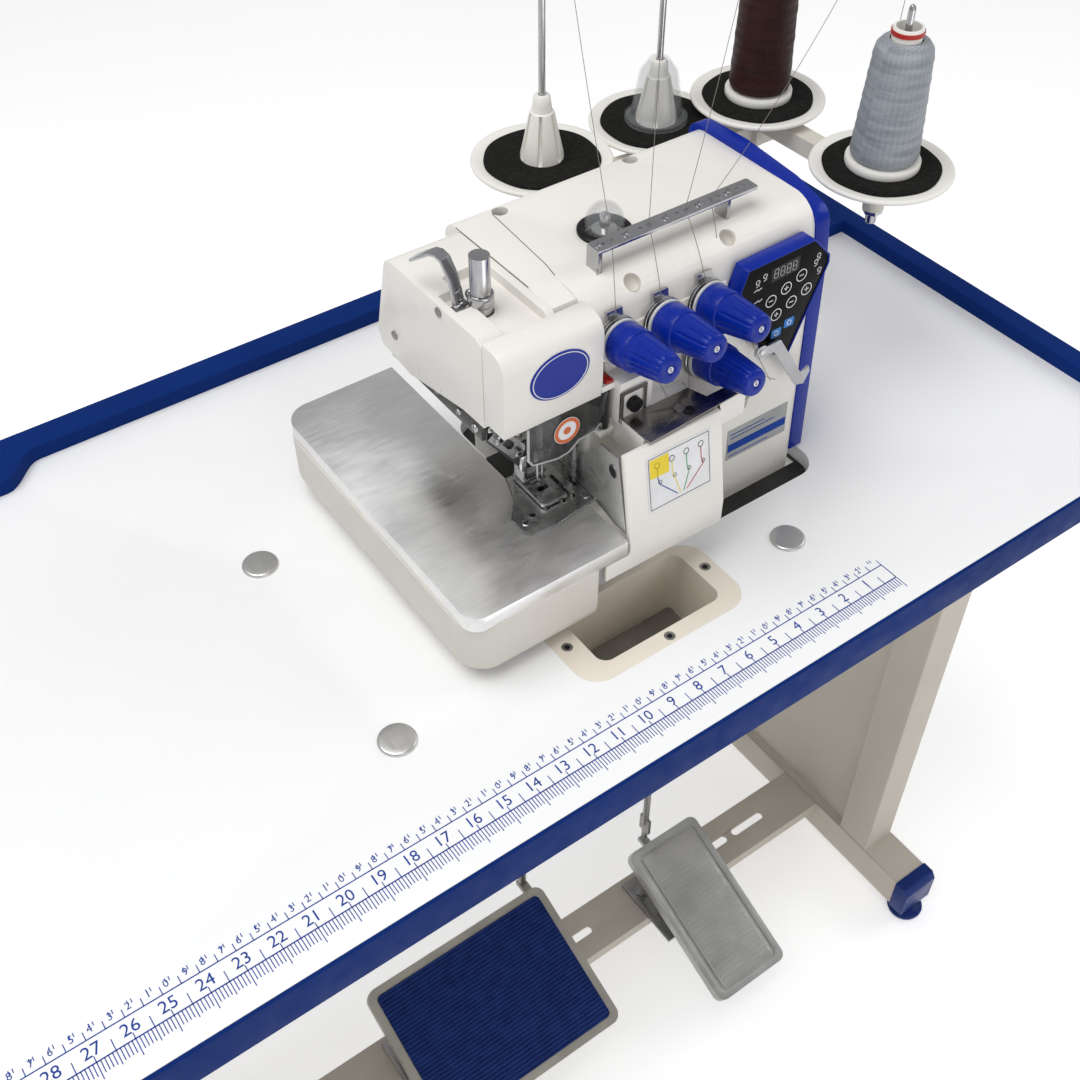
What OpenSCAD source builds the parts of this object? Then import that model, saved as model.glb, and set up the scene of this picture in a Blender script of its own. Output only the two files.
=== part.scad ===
// Industrial overlock (serger) sewing station: machine head let into a work table
// on a steel stand, with treadle, presser-foot pedal and a four-cone thread stand.
// Origin: on the floor, under the middle of the table. +X to the sewer's right,
// +Y away from the sewer, +Z up. Millimetres.

/* [Table] */
// Width of the table, left to right
table_w = 1200; // [1100:10:1300]
// Depth of the table, front to back
table_d = 600; // [580:10:640]
// Height of the table's top face above the floor
table_h = 750; // [700:10:820]
// Thickness of the board
board_t = 38; // [30:1:45]
// Height of the raised rim above the board
rim_up = 14.5; // [8:0.5:20]
// Width of the side rims
side_rim = 21; // [16:1:28]
// Width of the back rim
back_rim = 27.5; // [20:0.5:34]
// Thickness of the flush band on the front edge
band_t = 3; // [2:0.5:5]
// Diameter of the chrome cap buttons
cap_d = 30; // [24:1:34]

/* [Stand] */
// Distance from the middle of the table to the middle of each leg
leg_x = 467; // [440:1:480]
// Side of the square leg posts
post_w = 44; // [38:1:50]
// Height of the foot beams' top above the floor
beam_top = 70; // [60:1:80]
// Width of the foot beams
beam_w = 48; // [44:1:60]
// Depth of the slotted cross rail, front to back
rail_d = 60; // [50:1:70]

/* [Pedals] */
// Width of the treadle
treadle_w = 231; // [200:1:260]
// Depth of the treadle along its slope
treadle_d = 172; // [150:1:190]
// Slope of the treadle
treadle_slope = 21.8; // [15:0.1:28]
// Width of the presser-foot pedal
pedal_w = 100; // [90:1:120]
// Depth of the presser-foot pedal along its slope
pedal_d = 196; // [180:1:210]
// Slope of the presser-foot pedal
pedal_slope = 23; // [15:0.5:28]
// Radius of the pedal axles
axle_r = 6; // [5:0.5:8]

/* [Head] */
// Height of the head's top face above the table
head_h = 248; // [235:1:260]
// Right side of the head casting
head_right = 287; // [280:1:300]
// Height of the cloth plate's top face above the table
plate_h = 78; // [72:1:84]
// Radius of the main shaft
shaft_r = 8; // [6:0.5:10]
// Diameter of the handwheel
wheel_d = 76; // [60:1:90]
// Radius of the needle bar
bar_r = 3.6; // [3:0.1:4]
// Spacing of the tension knobs
knob_gap = 42; // [38:1:48]
// Tilt of the tension posts above level
knob_tilt = 10; // [0:1:15]

/* [Thread stand] */
// Diameter of the spool discs
disc_d = 125; // [110:1:130]
// Height of the spool discs' top face above the table
disc_h = 200; // [180:1:215]
// Radius of the spool pins
pin_r = 3; // [2.5:0.5:4]
// Length of the two free spool pins above their discs
pin_len = 185; // [150:5:200]
// Length of the pins inside the cones, above their discs
cone_pin = 140; // [130:1:180]
// Height of the thread guides above the table
guide_h = 540; // [480:10:600]

/* [Hidden] */
$fn = 48;
e = 0.01;

cream = "#efebe2";
blue = "#1438a8";
steel = "#c9ccd0";
dark = "#3c3e42";

// ---- table ----
tw = table_w / 2;
td = table_d / 2;
board_z = table_h - board_t;
rim_z = table_h + rim_up;
in_x = tw - side_rim;
in_y = td - back_rim;
// the back rim widens to the left of this step, and into a plateau at the right
left_step = [-258, -296];
left_rim_y = 245.5;
plateau_y = 119.5;
plateau_x = [400, 340];
caps = [[-158, 42], [-158, -174], [214, -188], [214, 160]];

// ---- hole in the table for the head ----
hole_x = [66, 300];
hole_y = [-137, 100];
hole_r = 22;

// ---- waste chute ----
chute_x = [-16, 147];
chute_y = [-220, -138.5];
chute_in_x = [7, 128];
chute_in_y = [-205, -144.5];
chute_deep = 70;
chute_screws = [[-5, -175], [67, -212.5], [137.5, -172]];

// ---- stand ----
beam_y = [-267, 230];
beam_z = 22;
post_y = [-211.5, 64];
post_d = post_w + 1.5;
sheet = 3;
foot_screws = [-274, 237];
rail_y = -95;
rail_z = [52, 70];
rail_x = leg_x - beam_w / 2;
rail_slots = [-330, -250, -5, 75, 290, 350];
bracket_bolts = [-168, 26, 176, 252];

// ---- pedals ----
treadle_x = -67.5;
treadle_axle = [-130, 132];
treadle_top = [-140, 146];
pedal_x = 214;
pedal_axle = [-150, 104];
pedal_top = [-170, 113];
pull_r = 5;
pull_x = 36;
pull_y = -43.5;
pull_z = [172, 674];
link_x = 196;
link_y = -70;
link_z = [152, 669];
crank_y = -20;
crank_z = 676;
arm_y = 4;
arm_z = 684;

// ---- head ----
hz = table_h;
wall = 6;
shaft_y = -10;
shaft_z = 72;
head_left = 66;
needle = [33, -86];
screw = [7, -52];
knife = [57.5, -70];
presser_axle = [40, 155];
swing_pin = [-50, 105];
knob_1 = [88, -102, 211];
knob_4 = [166.5, -109.5, 167];
guard_x = 69;
guard_y = -114;
hinge_y = -161;
hinge_z = 55;
feed_x = 90;
// play between a shaft and its bore
run = 0.05;
// round plugs on the left face of the face cover, as [y, z]
plugs = [[-39, 242.5], [29, 181]];
thread_plate_z = 153;
badge = [27.5, 216];
lower_pivot = [26, 18];
upper_pivot = [52, 14];
feed_rows = [25, 40.5, 50];

// ---- cloth plate ----
plate_x = [-88, 54];
plate_y = [-171, 114];
plate_back = 18;

// ---- thread stand ----
// disc centres, with how far each one sits above or below disc_h
discs = [[203, 148.5, 0], [342, 162, -14], [431, 123.5, 0], [434, -31.5, 0]];
column = [457, 152];
mast = [498, 190.5];

// ---- shared shapes ----
function arc(cx, cy, r, a0, a1, n = 6) =
  [for (i = [0:n]) let (a = a0 + (a1 - a0) * i / n) [cx + r * cos(a), cy + r * sin(a)]];
// points of a smooth step from p to q, level at both ends
function step_curve(p, q, n = 8) =
  [for (i = [0:n]) let (t = i / n)
    [p[0] + (q[0] - p[0]) * t, p[1] + (q[1] - p[1]) * (1 - cos(180 * t)) / 2]];

module rounded(x, y, r) {
  translate([x[0], y[0]])
    union() {
      w = x[1] - x[0];
      d = y[1] - y[0];
      translate([r, 0]) square([w - 2 * r, d]);
      translate([0, r]) square([w, d - 2 * r]);
      for (cx = [r, w - r], cy = [r, d - r]) translate([cx, cy]) circle(r);
    }
}

module slab(x, y, z, r = 0) {
  translate([0, 0, z[0]]) linear_extrude(z[1] - z[0])
    if (r > 0) rounded(x, y, r);
    else translate([x[0], y[0]]) square([x[1] - x[0], y[1] - y[0]]);
}

module box(x, y, z) {
  translate([x[0], y[0], z[0]]) cube([x[1] - x[0], y[1] - y[0], z[1] - z[0]]);
}

// a side outline, points given as [y, z], drawn out from x[0] to x[1]
module side(x, points) {
  translate([x[0], 0, 0]) rotate([90, 0, 90]) linear_extrude(x[1] - x[0]) polygon(points);
}

// a front outline, points given as [x, z], drawn out from y[0] to y[1]
module front(y, points) {
  translate([0, y[1], 0]) rotate([90, 0, 0]) linear_extrude(y[1] - y[0]) polygon(points);
}

module rod_x(x, y, z, r) {
  translate([x[0], y, z]) rotate([0, 90, 0]) cylinder(r = r, h = x[1] - x[0]);
}

module rod_y(x, y, z, r) {
  translate([x, y[1], z]) rotate([90, 0, 0]) cylinder(r = r, h = y[1] - y[0]);
}

module rod_z(x, y, z, r) {
  translate([x, y, z[0]]) cylinder(r = r, h = z[1] - z[0]);
}

// a flat bar in the table's plane from a to b, run on by r at both ends
module flat_bar(a, b, z, w, r) {
  v = [b[0] - a[0], b[1] - a[1]];
  translate([a[0], a[1], z[0]]) rotate([0, 0, atan2(v[1], v[0])])
    translate([-r, -w / 2, 0]) cube([norm(v) + 2 * r, w, z[1] - z[0]]);
}

module on_table() {
  translate([0, 0, hz]) children();
}

// ======== table ========

inner_outline = concat(
  [[-in_x, -td + band_t], [in_x, -td + band_t], [in_x, plateau_y]],
  step_curve([plateau_x[0], plateau_y], [plateau_x[1], in_y]),
  step_curve([left_step[0], in_y], [left_step[1], left_rim_y]),
  [[-in_x, left_rim_y]]);

module table_top() color("white") difference() {
  translate([0, 0, board_z]) linear_extrude(board_t) polygon(inner_outline);
  slab(hole_x, hole_y, [board_z - 1, table_h + 1], hole_r);
  slab(chute_x, chute_y, [board_z - 1, table_h + 1], 22);
  for (c = caps) rod_z(c[0], c[1], [table_h - 6, table_h + 1], cap_d / 2 - 4);
}

module edge_rim() color(blue) {
  difference() {
    box([-tw, tw], [-td, td], [board_z, rim_z]);
    translate([0, 0, board_z - 1]) linear_extrude(board_t + rim_up + 2) polygon(inner_outline);
    box([-in_x, in_x], [-td - 1, -td + band_t + e], [board_z - 1, rim_z + 1]);
  }
  box([-in_x, in_x], [-td, -td + band_t], [board_z, table_h]);
}

module cap_button(c) {
  translate([c[0], c[1], table_h]) rotate_extrude()
    polygon(concat([[0, -5.5], [cap_d / 2 - 4.5, -5.5], [cap_d / 2 - 4.5, 0], [cap_d / 2, 0]],
      arc(cap_d / 2 - 2, 0.6, 2, 0, 90, 4), [[0, 2.8]]));
}

module cap_buttons() color("silver") for (c = caps) cap_button(c);

module waste_chute() color(cream) difference() {
  union() {
    slab(chute_x, chute_y, [table_h - 4, table_h], 22);
    slab([chute_x[0] + 4, chute_x[1] - 4], [chute_y[0] + 4, chute_y[1] - 1.5],
      [table_h - chute_deep, table_h - 4], 18);
  }
  slab(chute_in_x, chute_in_y, [table_h - chute_deep + 3, table_h + 1], 10);
  // outlet in the floor, towards the cloth plate
  box([chute_in_x[0] + 3, chute_in_x[0] + 36], [chute_in_y[0] + 3, chute_in_y[0] + 38],
    [table_h - chute_deep - 1, table_h - chute_deep + 4]);
  for (s = chute_screws) {
    rod_z(s[0], s[1], [table_h - 12, table_h + 1], 2.6);
    rod_z(s[0], s[1], [table_h - 3, table_h + 1], 4.6);
  }
}

// ======== stand ========

// foot beam, two posts, the sunk web between them and the plate under the table,
// all of folded sheet and hollow inside
module leg() {
  w = post_w / 2;
  web = w - 9;
  difference() {
    union() {
      box([-beam_w / 2, beam_w / 2], beam_y, [beam_z, beam_top]);
      for (y = post_y) box([-w, w], [y, y + post_d], [beam_top, board_z - 6]);
      box([-web, web], [post_y[0] + post_w, post_y[1] + 1], [beam_top, board_z - 6]);
      box([-w - 22, w + 22], [post_y[0] - 28, post_y[1] + 130], [board_z - 6, board_z]);
    }
    box([-beam_w / 2 + sheet, beam_w / 2 - sheet], [beam_y[0] - 1, beam_y[1] + 1],
      [beam_z + sheet, beam_top - sheet]);
    for (y = post_y) box([-w + sheet, w - sheet], [y + sheet, y + post_d - sheet],
      [beam_top - sheet - 1, board_z - 6]);
    box([-web + sheet, web - sheet], [post_y[0] + post_d - sheet - 1, post_y[1] + sheet + 1],
      [beam_top - sheet - 1, board_z - 6]);
  }
}

module legs() color(cream) for (s = [-1, 1]) translate([s * leg_x, 0, 0]) leg();

module foot_cap(y, dir) {
  side([-beam_w / 2 - 1, beam_w / 2 + 1], [[y, beam_z - 1], [y, beam_top + 1],
    [y + dir * 14, beam_top + 1], [y + dir * 20, beam_top - 8], [y + dir * 20, beam_z - 1]]);
  // a tongue inside the beam
  box([-beam_w / 2 + 3.2, beam_w / 2 - 3.2], [min(y, y - dir * 14), max(y, y - dir * 14)],
    [beam_z + 3.2, beam_top - 3.2]);
}

module foot_caps() color(blue) for (s = [-1, 1]) translate([s * leg_x, 0, 0]) difference() {
  union() {
    foot_cap(beam_y[0], -1);
    foot_cap(beam_y[1], 1);
  }
  for (y = foot_screws) rod_z(0, y, [beam_z - 2, 47], 5 + run);
}

module levelling_foot() {
  // round foot and its threaded stem
  rotate_extrude() polygon(concat([[0, 0], [20, 0]], arc(18, 6, 4, -20, 80, 4),
    [[8, 14], [8, 21], [0, 21]]));
  rod_z(0, 0, [14, 44], 5);
}

module levelling_feet() color(blue) for (s = [-1, 1], y = foot_screws)
  translate([s * leg_x, y, 0]) levelling_foot();

module cross_rail() color(cream) difference() {
  box([-rail_x, rail_x], [rail_y - rail_d / 2, rail_y + rail_d / 2], rail_z);
  box([-rail_x - 1, rail_x + 1], [rail_y - rail_d / 2 + 3, rail_y + rail_d / 2 - 3],
    [rail_z[0] - 1, rail_z[1] - 3]);
  for (x = rail_slots) {
    for (dx = [-20, 20]) rod_z(x + dx, rail_y, [rail_z[0], rail_z[1] + 1], 5);
    box([x - 20, x + 20], [rail_y - 5, rail_y + 5], [rail_z[0], rail_z[1] + 1]);
  }
  for (x = bracket_bolts) rod_z(x, rail_y, [rail_z[0], rail_z[1] + 1], 4.2);
}

module hex_bolt(z, below) {
  translate([0, 0, z]) {
    cylinder(r = 6.5, h = 5, $fn = 6);
    cylinder(r = 9, h = 1.2);
    translate([0, 0, -below]) cylinder(r = 3.8, h = below);
  }
}

module screws() color("silver") {
  for (s = chute_screws) translate([s[0], s[1], table_h - 3]) {
    cylinder(r = 4.3, h = 2);
    translate([0, 0, -8]) cylinder(r = 2.4, h = 8);
  }
  for (x = bracket_bolts) translate([x, rail_y, 0]) hex_bolt(rail_z[1] + 4, 9);
  for (s = [-1, 1], y = [post_y[0] - 14, post_y[1] + 116], dx = [-26, 26])
    translate([s * leg_x + dx, y, board_z - 6]) mirror([0, 0, 1]) cylinder(r = 6, h = 4);
  on_table() {
    translate([122, -141, thread_plate_z + 1.4]) cylinder(r = 4, h = 1.8);
    // pin of the eye guard, its stud below the tensions, and the cover screws
    rod_z(guard_x + 3, guard_y + 1, [137, 185], 2);
    rod_y(222, [-113, -104], 99, 3.2);
    for (p = plugs) rod_x([-21.2, -20], p[0], p[1], 3.6);
  }
}

// an upright ear on a foot plate, holding an axle
module bracket(x, ax) {
  difference() {
    union() {
      box([x - 12, x + 12], [ax[0] - 14, rail_y + 22], [rail_z[1], rail_z[1] + 4]);
      side([x - 2, x + 2], [[ax[0] - 12, rail_z[1] + 3], [ax[0] - 9, ax[1]],
        [ax[0] + 9, ax[1]], [ax[0] + 22, rail_z[1] + 3]]);
      rod_x([x - 2, x + 2], ax[0], ax[1], 9);
    }
    rod_x([x - 4, x + 4], ax[0], ax[1], axle_r + run);
    rod_z(x, rail_y, [rail_z[1] - 1, rail_z[1] + 5], 4.2);
  }
}

module hinge_brackets() color("silver") {
  for (x = [-168, 26]) bracket(x, treadle_axle);
  for (x = [176, 252]) bracket(x, pedal_axle);
}

// ======== treadle and speed control ========

module treadle_plane() {
  translate([treadle_x, treadle_top[0], treadle_top[1]]) rotate([treadle_slope, 0, 0]) children();
}

module treadle_frame() color(cream) {
  w = treadle_w / 2;
  d = treadle_d / 2;
  treadle_plane() difference() {
    slab([-w, w], [-d, d], [-16, 0], 12);
    slab([-w + 9, w - 9], [-d + 9, d - 9], [-3.5, 1], 6);
    slab([-w + 5, w - 5], [-d + 5, d - 5], [-17, -7], 8);
  }
  // hub and axle under the tray, and the ball stud for the rod
  rod_x([-178, 36], treadle_axle[0], treadle_axle[1], axle_r);
  for (x = [-140, -4]) box([x - 5, x + 5], [treadle_axle[0] - 10, treadle_axle[0] + 10],
    [treadle_axle[1] - 9, treadle_axle[1] + 8]);
  box([pull_x - 5, pull_x + 5], [pull_y - 22, pull_y + 5], [163, 170]);
}

module treadle_mat() color("#142a63") treadle_plane() {
  w = treadle_w / 2 - 9.2;
  d = treadle_d / 2 - 9.2;
  slab([-w, w], [-d, d], [-3.4, 1.2], 6);
}

module pitman_rod() color("silver") {
  rod_z(pull_x, pull_y, pull_z, pull_r);
  for (z = [pull_z[0] + 28, pull_z[1] - 26]) rod_z(pull_x, pull_y, [z, z + 26], 8);
}

module speed_unit() color(dark) {
  difference() {
    box([-70, 60], [-34, 60], [board_z - 62, board_z]);
    box([pull_x - 8, pull_x + 8], [-40, 30], [board_z - 63, board_z - 8]);
  }
  rod_x([pull_x - 8, pull_x + 8], arm_y, arm_z, 5);
}

module speed_lever() color("silver") difference() {
  union() {
    box([pull_x - 3, pull_x + 3], [pull_y - 8, arm_y], [arm_z - 5, arm_z + 5]);
    rod_x([pull_x - 3, pull_x + 3], arm_y, arm_z, 10);
    rod_x([pull_x - 3, pull_x + 3], pull_y, arm_z, 8);
  }
  rod_x([pull_x - 4, pull_x + 4], arm_y, arm_z, 5 + run);
}

// ======== presser-foot pedal and its linkage ========

module pedal_plane() {
  translate([pedal_x, pedal_top[0], pedal_top[1]]) rotate([pedal_slope, 0, 0]) children();
}

module lift_pedal() color("#b9bcbe") {
  w = pedal_w / 2;
  d = pedal_d / 2;
  pedal_plane() {
    difference() {
      slab([-w, w], [-d, d], [-14, 0], 10);
      slab([-w + 8, w - 8], [-d + 8, d - 8], [-1.6, 1], 7);
      slab([-w + 6, w - 6], [-d + 6, d - 6], [-15, -6], 6);
    }
    // raised panel with its ribs
    slab([-w + 12, w - 12], [-d + 12, d - 12], [-2, 0.6], 4);
    for (i = [0:23]) translate([-w + 16, -d + 18 + i * 5.8, 0.5]) cube([2 * w - 32, 2.4, 0.9]);
  }
  rod_x([170, 258], pedal_axle[0], pedal_axle[1], axle_r);
  for (x = [192, 236]) box([x - 5, x + 5], [pedal_axle[0] - 10, pedal_axle[0] + 10],
    [pedal_axle[1] - 9, pedal_axle[1] + 8]);
  box([link_x - 5, link_x + 5], [link_y - 18, link_y + 5], [141, 147]);
}

module lift_link() color("silver") {
  rod_z(link_x, link_y, [link_z[0] + 30, link_z[1]], 4);
  // flat hook at the lower end
  box([link_x - 2, link_x + 2], [link_y - 3, link_y + 3], [link_z[0], link_z[0] + 14]);
  box([link_x - 2, link_x + 2], [link_y - 8, link_y + 8], [link_z[0] + 14, link_z[0] + 40]);
}

module lift_crank() color("silver") difference() {
  union() {
    box([link_x - 4, link_x + 4], [link_y - 6, crank_y], [crank_z - 5, crank_z + 4]);
    rod_x([link_x - 4, link_x + 4], crank_y, crank_z, 10);
  }
  rod_x([link_x - 5, link_x + 5], crank_y, crank_z, 5 + run);
}

// ======== head ========

// side outline of the main casting above the table, as [y, z]
head_outline = concat([[60, -45], [60, 150], [52, 232]], arc(38, 234, 14, 0, 90, 4),
  [[-58, head_h]], arc(-72, 222, 26, 95, 165, 6), [[-101, 206], [-109, 0], [-109, -45]]);

// the same outline, one wall smaller
head_inner = [[54, -39], [54, 150], [46, 232], [36, 242], [-58, 242], [-74, 240],
  [-88, 230], [-93, 206], [-102, 0], [-102, -39]];

module head_casting() color(cream) on_table() difference() {
  union() {
    side([head_left, head_right], head_outline);
    // step towards the face cover, and the nose that guides the needle bar
    side([43.2, head_left], concat([[52, 150], [50, 232]], arc(38, 234, 14, 0, 90, 4),
      [[-60, head_h], [-84, head_h - 4], [-87, 236], [-87, 182], [20, 160]]));
    box([-4, head_left - 4.5], [-97, 26], [182, 232]);
    // shelf under the thread plate and the block round the feed button
    difference() {
      box([80, 180], [-150.5, -100], [128, thread_plate_z]);
      box([144, 190], [-142, -104], [138, 160]);
    }
    box([78, 108], [-124, -100], [149, 187]);
    // lugs that hold the pin of the eye guard
    for (z = [137, 180]) box([head_left + 0.5, 79], [-117, -100], [z, z + 5]);
    // arms and pin that the looper cover hangs on
    for (x = [78, 141.5]) {
      box([x, x + 4], [hinge_y, -100], [hinge_z - 4, hinge_z + 4]);
      rod_x([x, x + 4], hinge_y, hinge_z, 4);
    }
    rod_x([78, 145.5], hinge_y, hinge_z, 2);
    // pin of the thread lever
    rod_y(222, [-123, -100], 150, 2);
    // boss for the presser shaft, and tension face
    rod_x([10, head_left + 2], presser_axle[0], presser_axle[1], 12);
    side([78, 195.5], [[-95, 216], [-101, 216], [-114.5, 138], [-95, 138]]);
    // lugs for the lifting crank
    for (x = [link_x - 10, link_x + 5]) box([x, x + 5], [crank_y - 10, crank_y + 10],
      [crank_z - hz - 10, -40]);
    rod_x([link_x - 10, link_x + 10], crank_y, crank_z - hz, 5);
  }
  difference() {
    side([head_left + wall, head_right - wall], head_inner);
    // bearing bosses left standing on the end walls
    for (x = [[head_left, head_left + 16], [head_right - 16, head_right]])
      rod_x(x, shaft_y, shaft_z, 16);
  }
  rod_x([head_left - 1, head_right + 1], shaft_y, shaft_z, shaft_r + run);
  rod_z(needle[0], needle[1], [170, 240], bar_r + run);
  rod_z(screw[0], screw[1], [190, 240], 4 + run);
  rod_z(knife[0], knife[1], [150, 232], 4 + run);
  rod_x([-5, head_left + 1], presser_axle[0], presser_axle[1], 6 + run);
  // button well, lubrication holes and the sunk screw holes on top
  rod_y(feed_x, [-125, -100], 165, 6 + run);
  rod_y(225, [-115, -102], 84, 6);
  rod_y(222, [-115, -103.9], 99, 3.2);
  rod_z(guard_x + 3, guard_y + 1, [136, 186], 2);
  for (p = [[113, -77], [205, -74]]) translate([p[0], p[1], 225]) rotate([35, 0, 0])
    cylinder(r = 7, h = 40);
  for (p = [[83, 36], [210, 38]]) rod_z(p[0], p[1], [head_h - 12, head_h + 1], 6.5);
  rod_z(131, -32, [head_h - 3, head_h + 1], 21 + run);
  rod_z(131, -32, [head_h - 12, head_h + 1], 15);
}

module bed_casting() color(dark) on_table() {
  difference() {
    box([-3, head_left - 0.2], [-119, -30], [3, 74.4]);
    // open inside for the loopers and the feed
    box([4, head_left + 1], [-120, -37], [8, 76]);
    rod_y(lower_pivot[0], [-40, -20], lower_pivot[1], 5 + run);
    rod_y(upper_pivot[0], [-40, -20], upper_pivot[1], 5 + run);
  }
  // pin on the table that the cloth plate swings on
  rod_z(swing_pin[0], swing_pin[1], [0, 60], 4);
  rod_z(swing_pin[0], swing_pin[1], [0, 3], 12);
  // top of the bed behind the needle plate, and the pads the plate lies on
  box([20, head_left - 0.2], [-59, -30], [70, 77.6]);
  box([-2.5, 5], [-117, -104], [70, 75.3]);
  box([55.5, head_left - 0.2], [-82, -59], [66, 75.3]);
}

module end_cover() color(blue) on_table() difference() {
  side([head_right, head_right + 15], concat([[62, 5], [62, 150], [57, 236]],
    arc(45, 240, 11, 0, 90, 4), [[0, head_h + 4.5], [-58, head_h]],
    arc(-84, 226, 15, 100, 170, 4), [[-102.5, 197], [-110, 5]]));
  rod_x([head_right - 1, head_right + 16], shaft_y, shaft_z, shaft_r + 2);
}

// face of the control panel, as [x, z], with the cut corner at the lower left
panel_outline = [[203, 229], [271, 231], [290, 211], [291, 203], [258, 121],
  [225, 150], [196, 208]];
panel_mid = [245, 190];

function grow(points, c, k) = [for (p = points) c + (p - c) * k];

module panel_bezel() color(blue) on_table() difference() {
  front([-115, -100], panel_outline);
  front([-116, -111], grow(panel_outline, panel_mid, 0.97));
  box([head_right - 0.1, 300], [-103.5, 0], [180, 230]);
  side([190, 310], head_outline);
}

module panel_glass() color("black") on_table()
  front([-114.2, -111], grow(panel_outline, panel_mid, 0.965));

face_outline = concat([[-92, 172], [-92, 244], [-86, head_h], [20, head_h]],
  arc(26, head_h - 12, 12, 90, 10, 4), [[56, 172], [50, 160], [10, 155], [-65, 171]]);

module face_cover() color(cream) on_table() difference() {
  side([-20, 43], face_outline);
  // hollow inside
  side([-16, 44], [[-97, 150], [-97, 236], [34, 236], [52, 172], [46, 150]]);
  box([-16, 44], [-95, 53], [150, 175]);
  // well round the pressure screw and its lever, with the floor pierced
  box([0, 36], [-93, -12], [240, head_h + 1]);
  rod_z(screw[0], screw[1], [230, head_h], 9);
  // notch for the foot of the release lever
  box([-14, 4], [-53, -29], [240, head_h + 1]);
}

front_outline = concat([[-92.3, 247]], arc(-104, 233, 14, 100, 180, 6),
  [[-118, 190], [-116.5, 178], [-92.3, 178]]);

module front_cover() color(cream) on_table() difference() {
  side([-19.5, 66], front_outline);
  side([-15.5, 62], [[-91, 170], [-112, 170], [-114, 205], [-113.5, 234], [-106, 241], [-91, 242]]);
}

module badge_plate() color(blue) on_table() translate([badge[0], -118, badge[1]])
  rotate([90, 0, 0]) scale([1, 0.76, 1]) cylinder(r = 25.5, h = 1.2);

// sheet with a deeper middle and a cut corner beside the pin, as [x, z]
guard_outline = [[1, 177.5], [1, 147], [5, 140.5], [28, 135.5], [38, 137], [47, 144.2],
  [62, 146], [guard_x, 152], [guard_x, 177.5]];

module eye_guard() color("#60656a") on_table() difference() {
  union() {
    front([guard_y - 2.5, guard_y], guard_outline);
    rod_z(guard_x + 3, guard_y + 1, [143, 178.5], 4);
  }
  rod_z(guard_x + 3, guard_y + 1, [141, 180], 2 + run);
}

// ---- presser foot lifter ----

module release_lever() color("silver") on_table() {
  translate([-6, -44, 0]) rotate([0, 0, 18]) {
    side([-5, 5], [[1, 242], [-2, 242], [3, 266], [10, 280], [16, 283], [22, 282],
      [40, 270], [39, 268], [21, 280], [16, 281], [11.5, 278.5], [5, 265]]);
    rod_x([-6, 6], 0, 244.5, 3);
  }
}

module pressure_screw() color("silver") on_table() {
  rod_z(screw[0], screw[1], [246, 286], 7.5);
  rod_z(screw[0], screw[1], [240.3, 246], 8.4);
  rod_z(screw[0], screw[1], [195, 241], 4);
}

module presser_arm() color("#8d9094") on_table() {
  rod_x([-9, 58], presser_axle[0], presser_axle[1], 6);
  rod_x([-9, 7], presser_axle[0], presser_axle[1], 12);
  box([-8, 6], [-76, presser_axle[0]], [145, 163]);
  // the arm slopes down to the foot
  front([-76, -64], [[-8, 163], [6, 163], [8, 147], [31, 112], [44, 112], [44, 98], [23, 98],
    [-8, 141]]);
}

module presser_foot() color("#b9bcc0") on_table() difference() {
  union() {
    box([24, 44], [-76, -64], [83, 98]);
    slab([22, 54], [-106, -62], [79.5, 83], 4);
  }
  slab([28, 38], [-92, -77.5], [79, 84], 2);
  slab([44.5, 48], [-107, -80], [79, 84]);
}

// ---- needle bar, feed and loopers ----

module needle_bar() color("silver") on_table() {
  rod_z(needle[0], needle[1], [112, 222], bar_r);
  rod_z(needle[0], needle[1], [110, 124], 6);
  for (dx = [-2.2, 2.2]) {
    rod_z(needle[0] + dx, needle[1], [96, 110], 1);
    translate([needle[0] + dx, needle[1], 90]) cylinder(r1 = 0.4, r2 = 1, h = 6);
  }
}

needle_outline = [[-4, -101], [-4, -119], [0, -123], [22, -124.5], [64, -118.5], [64, -60],
  [19, -60], [10, -84]];

module needle_plate() color("#a9abae") on_table() {
  difference() {
    translate([0, 0, plate_h - 2.7]) linear_extrude(3) polygon(needle_outline);
    slab([28, 38], [-90, -82], [70, 80], 1.5);
    for (x = feed_rows) slab([x - 2, x + 2], [-108, -68], [70, 80]);
    for (p = [[3, -110], [58, -112]]) rod_z(p[0], p[1], [70, 80], 2.4);
    // slot that the upper knife drops into
    box([56, 60.3], [-98.5, -82.5], [70, 80]);
  }
  // fixed lower knife
  box([60.3, 63], [-98, -84], [60, 76]);
}

module feed_dogs() color("#8d9094") on_table() {
  box([22, 53], [-104, -72], [56, 64]);
  for (x = feed_rows) {
    box([x - 1.4, x + 1.4], [-104, -72], [63, 78.2]);
    for (i = [0:9]) translate([x - 1.4, -104 + i * 3.2, 78.2])
      rotate([90, 0, 90]) linear_extrude(2.8) polygon([[0, -0.2], [3.2, -0.2], [1.2, 0.9]]);
  }
}

module lower_looper() color("silver") on_table() {
  rod_y(lower_pivot[0], [-66, -28], lower_pivot[1], 5);
  box([lower_pivot[0] - 3, lower_pivot[0] + 3], [-66, -60], [lower_pivot[1], 54]);
  front([-66, -62], [[lower_pivot[0] - 3, 50], [lower_pivot[0] + 20, 55],
    [lower_pivot[0] + 20, 56], [lower_pivot[0] - 3, 57]]);
}

module upper_looper() color("silver") on_table() {
  rod_y(upper_pivot[0], [-56, -28], upper_pivot[1], 5);
  box([upper_pivot[0] - 3, upper_pivot[0] + 3], [-56, -50], [upper_pivot[1], 50]);
  front([-56, -52], [[upper_pivot[0] + 3, 46], [upper_pivot[0] - 22, 51],
    [upper_pivot[0] - 22, 52], [upper_pivot[0] + 3, 53]]);
}

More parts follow.
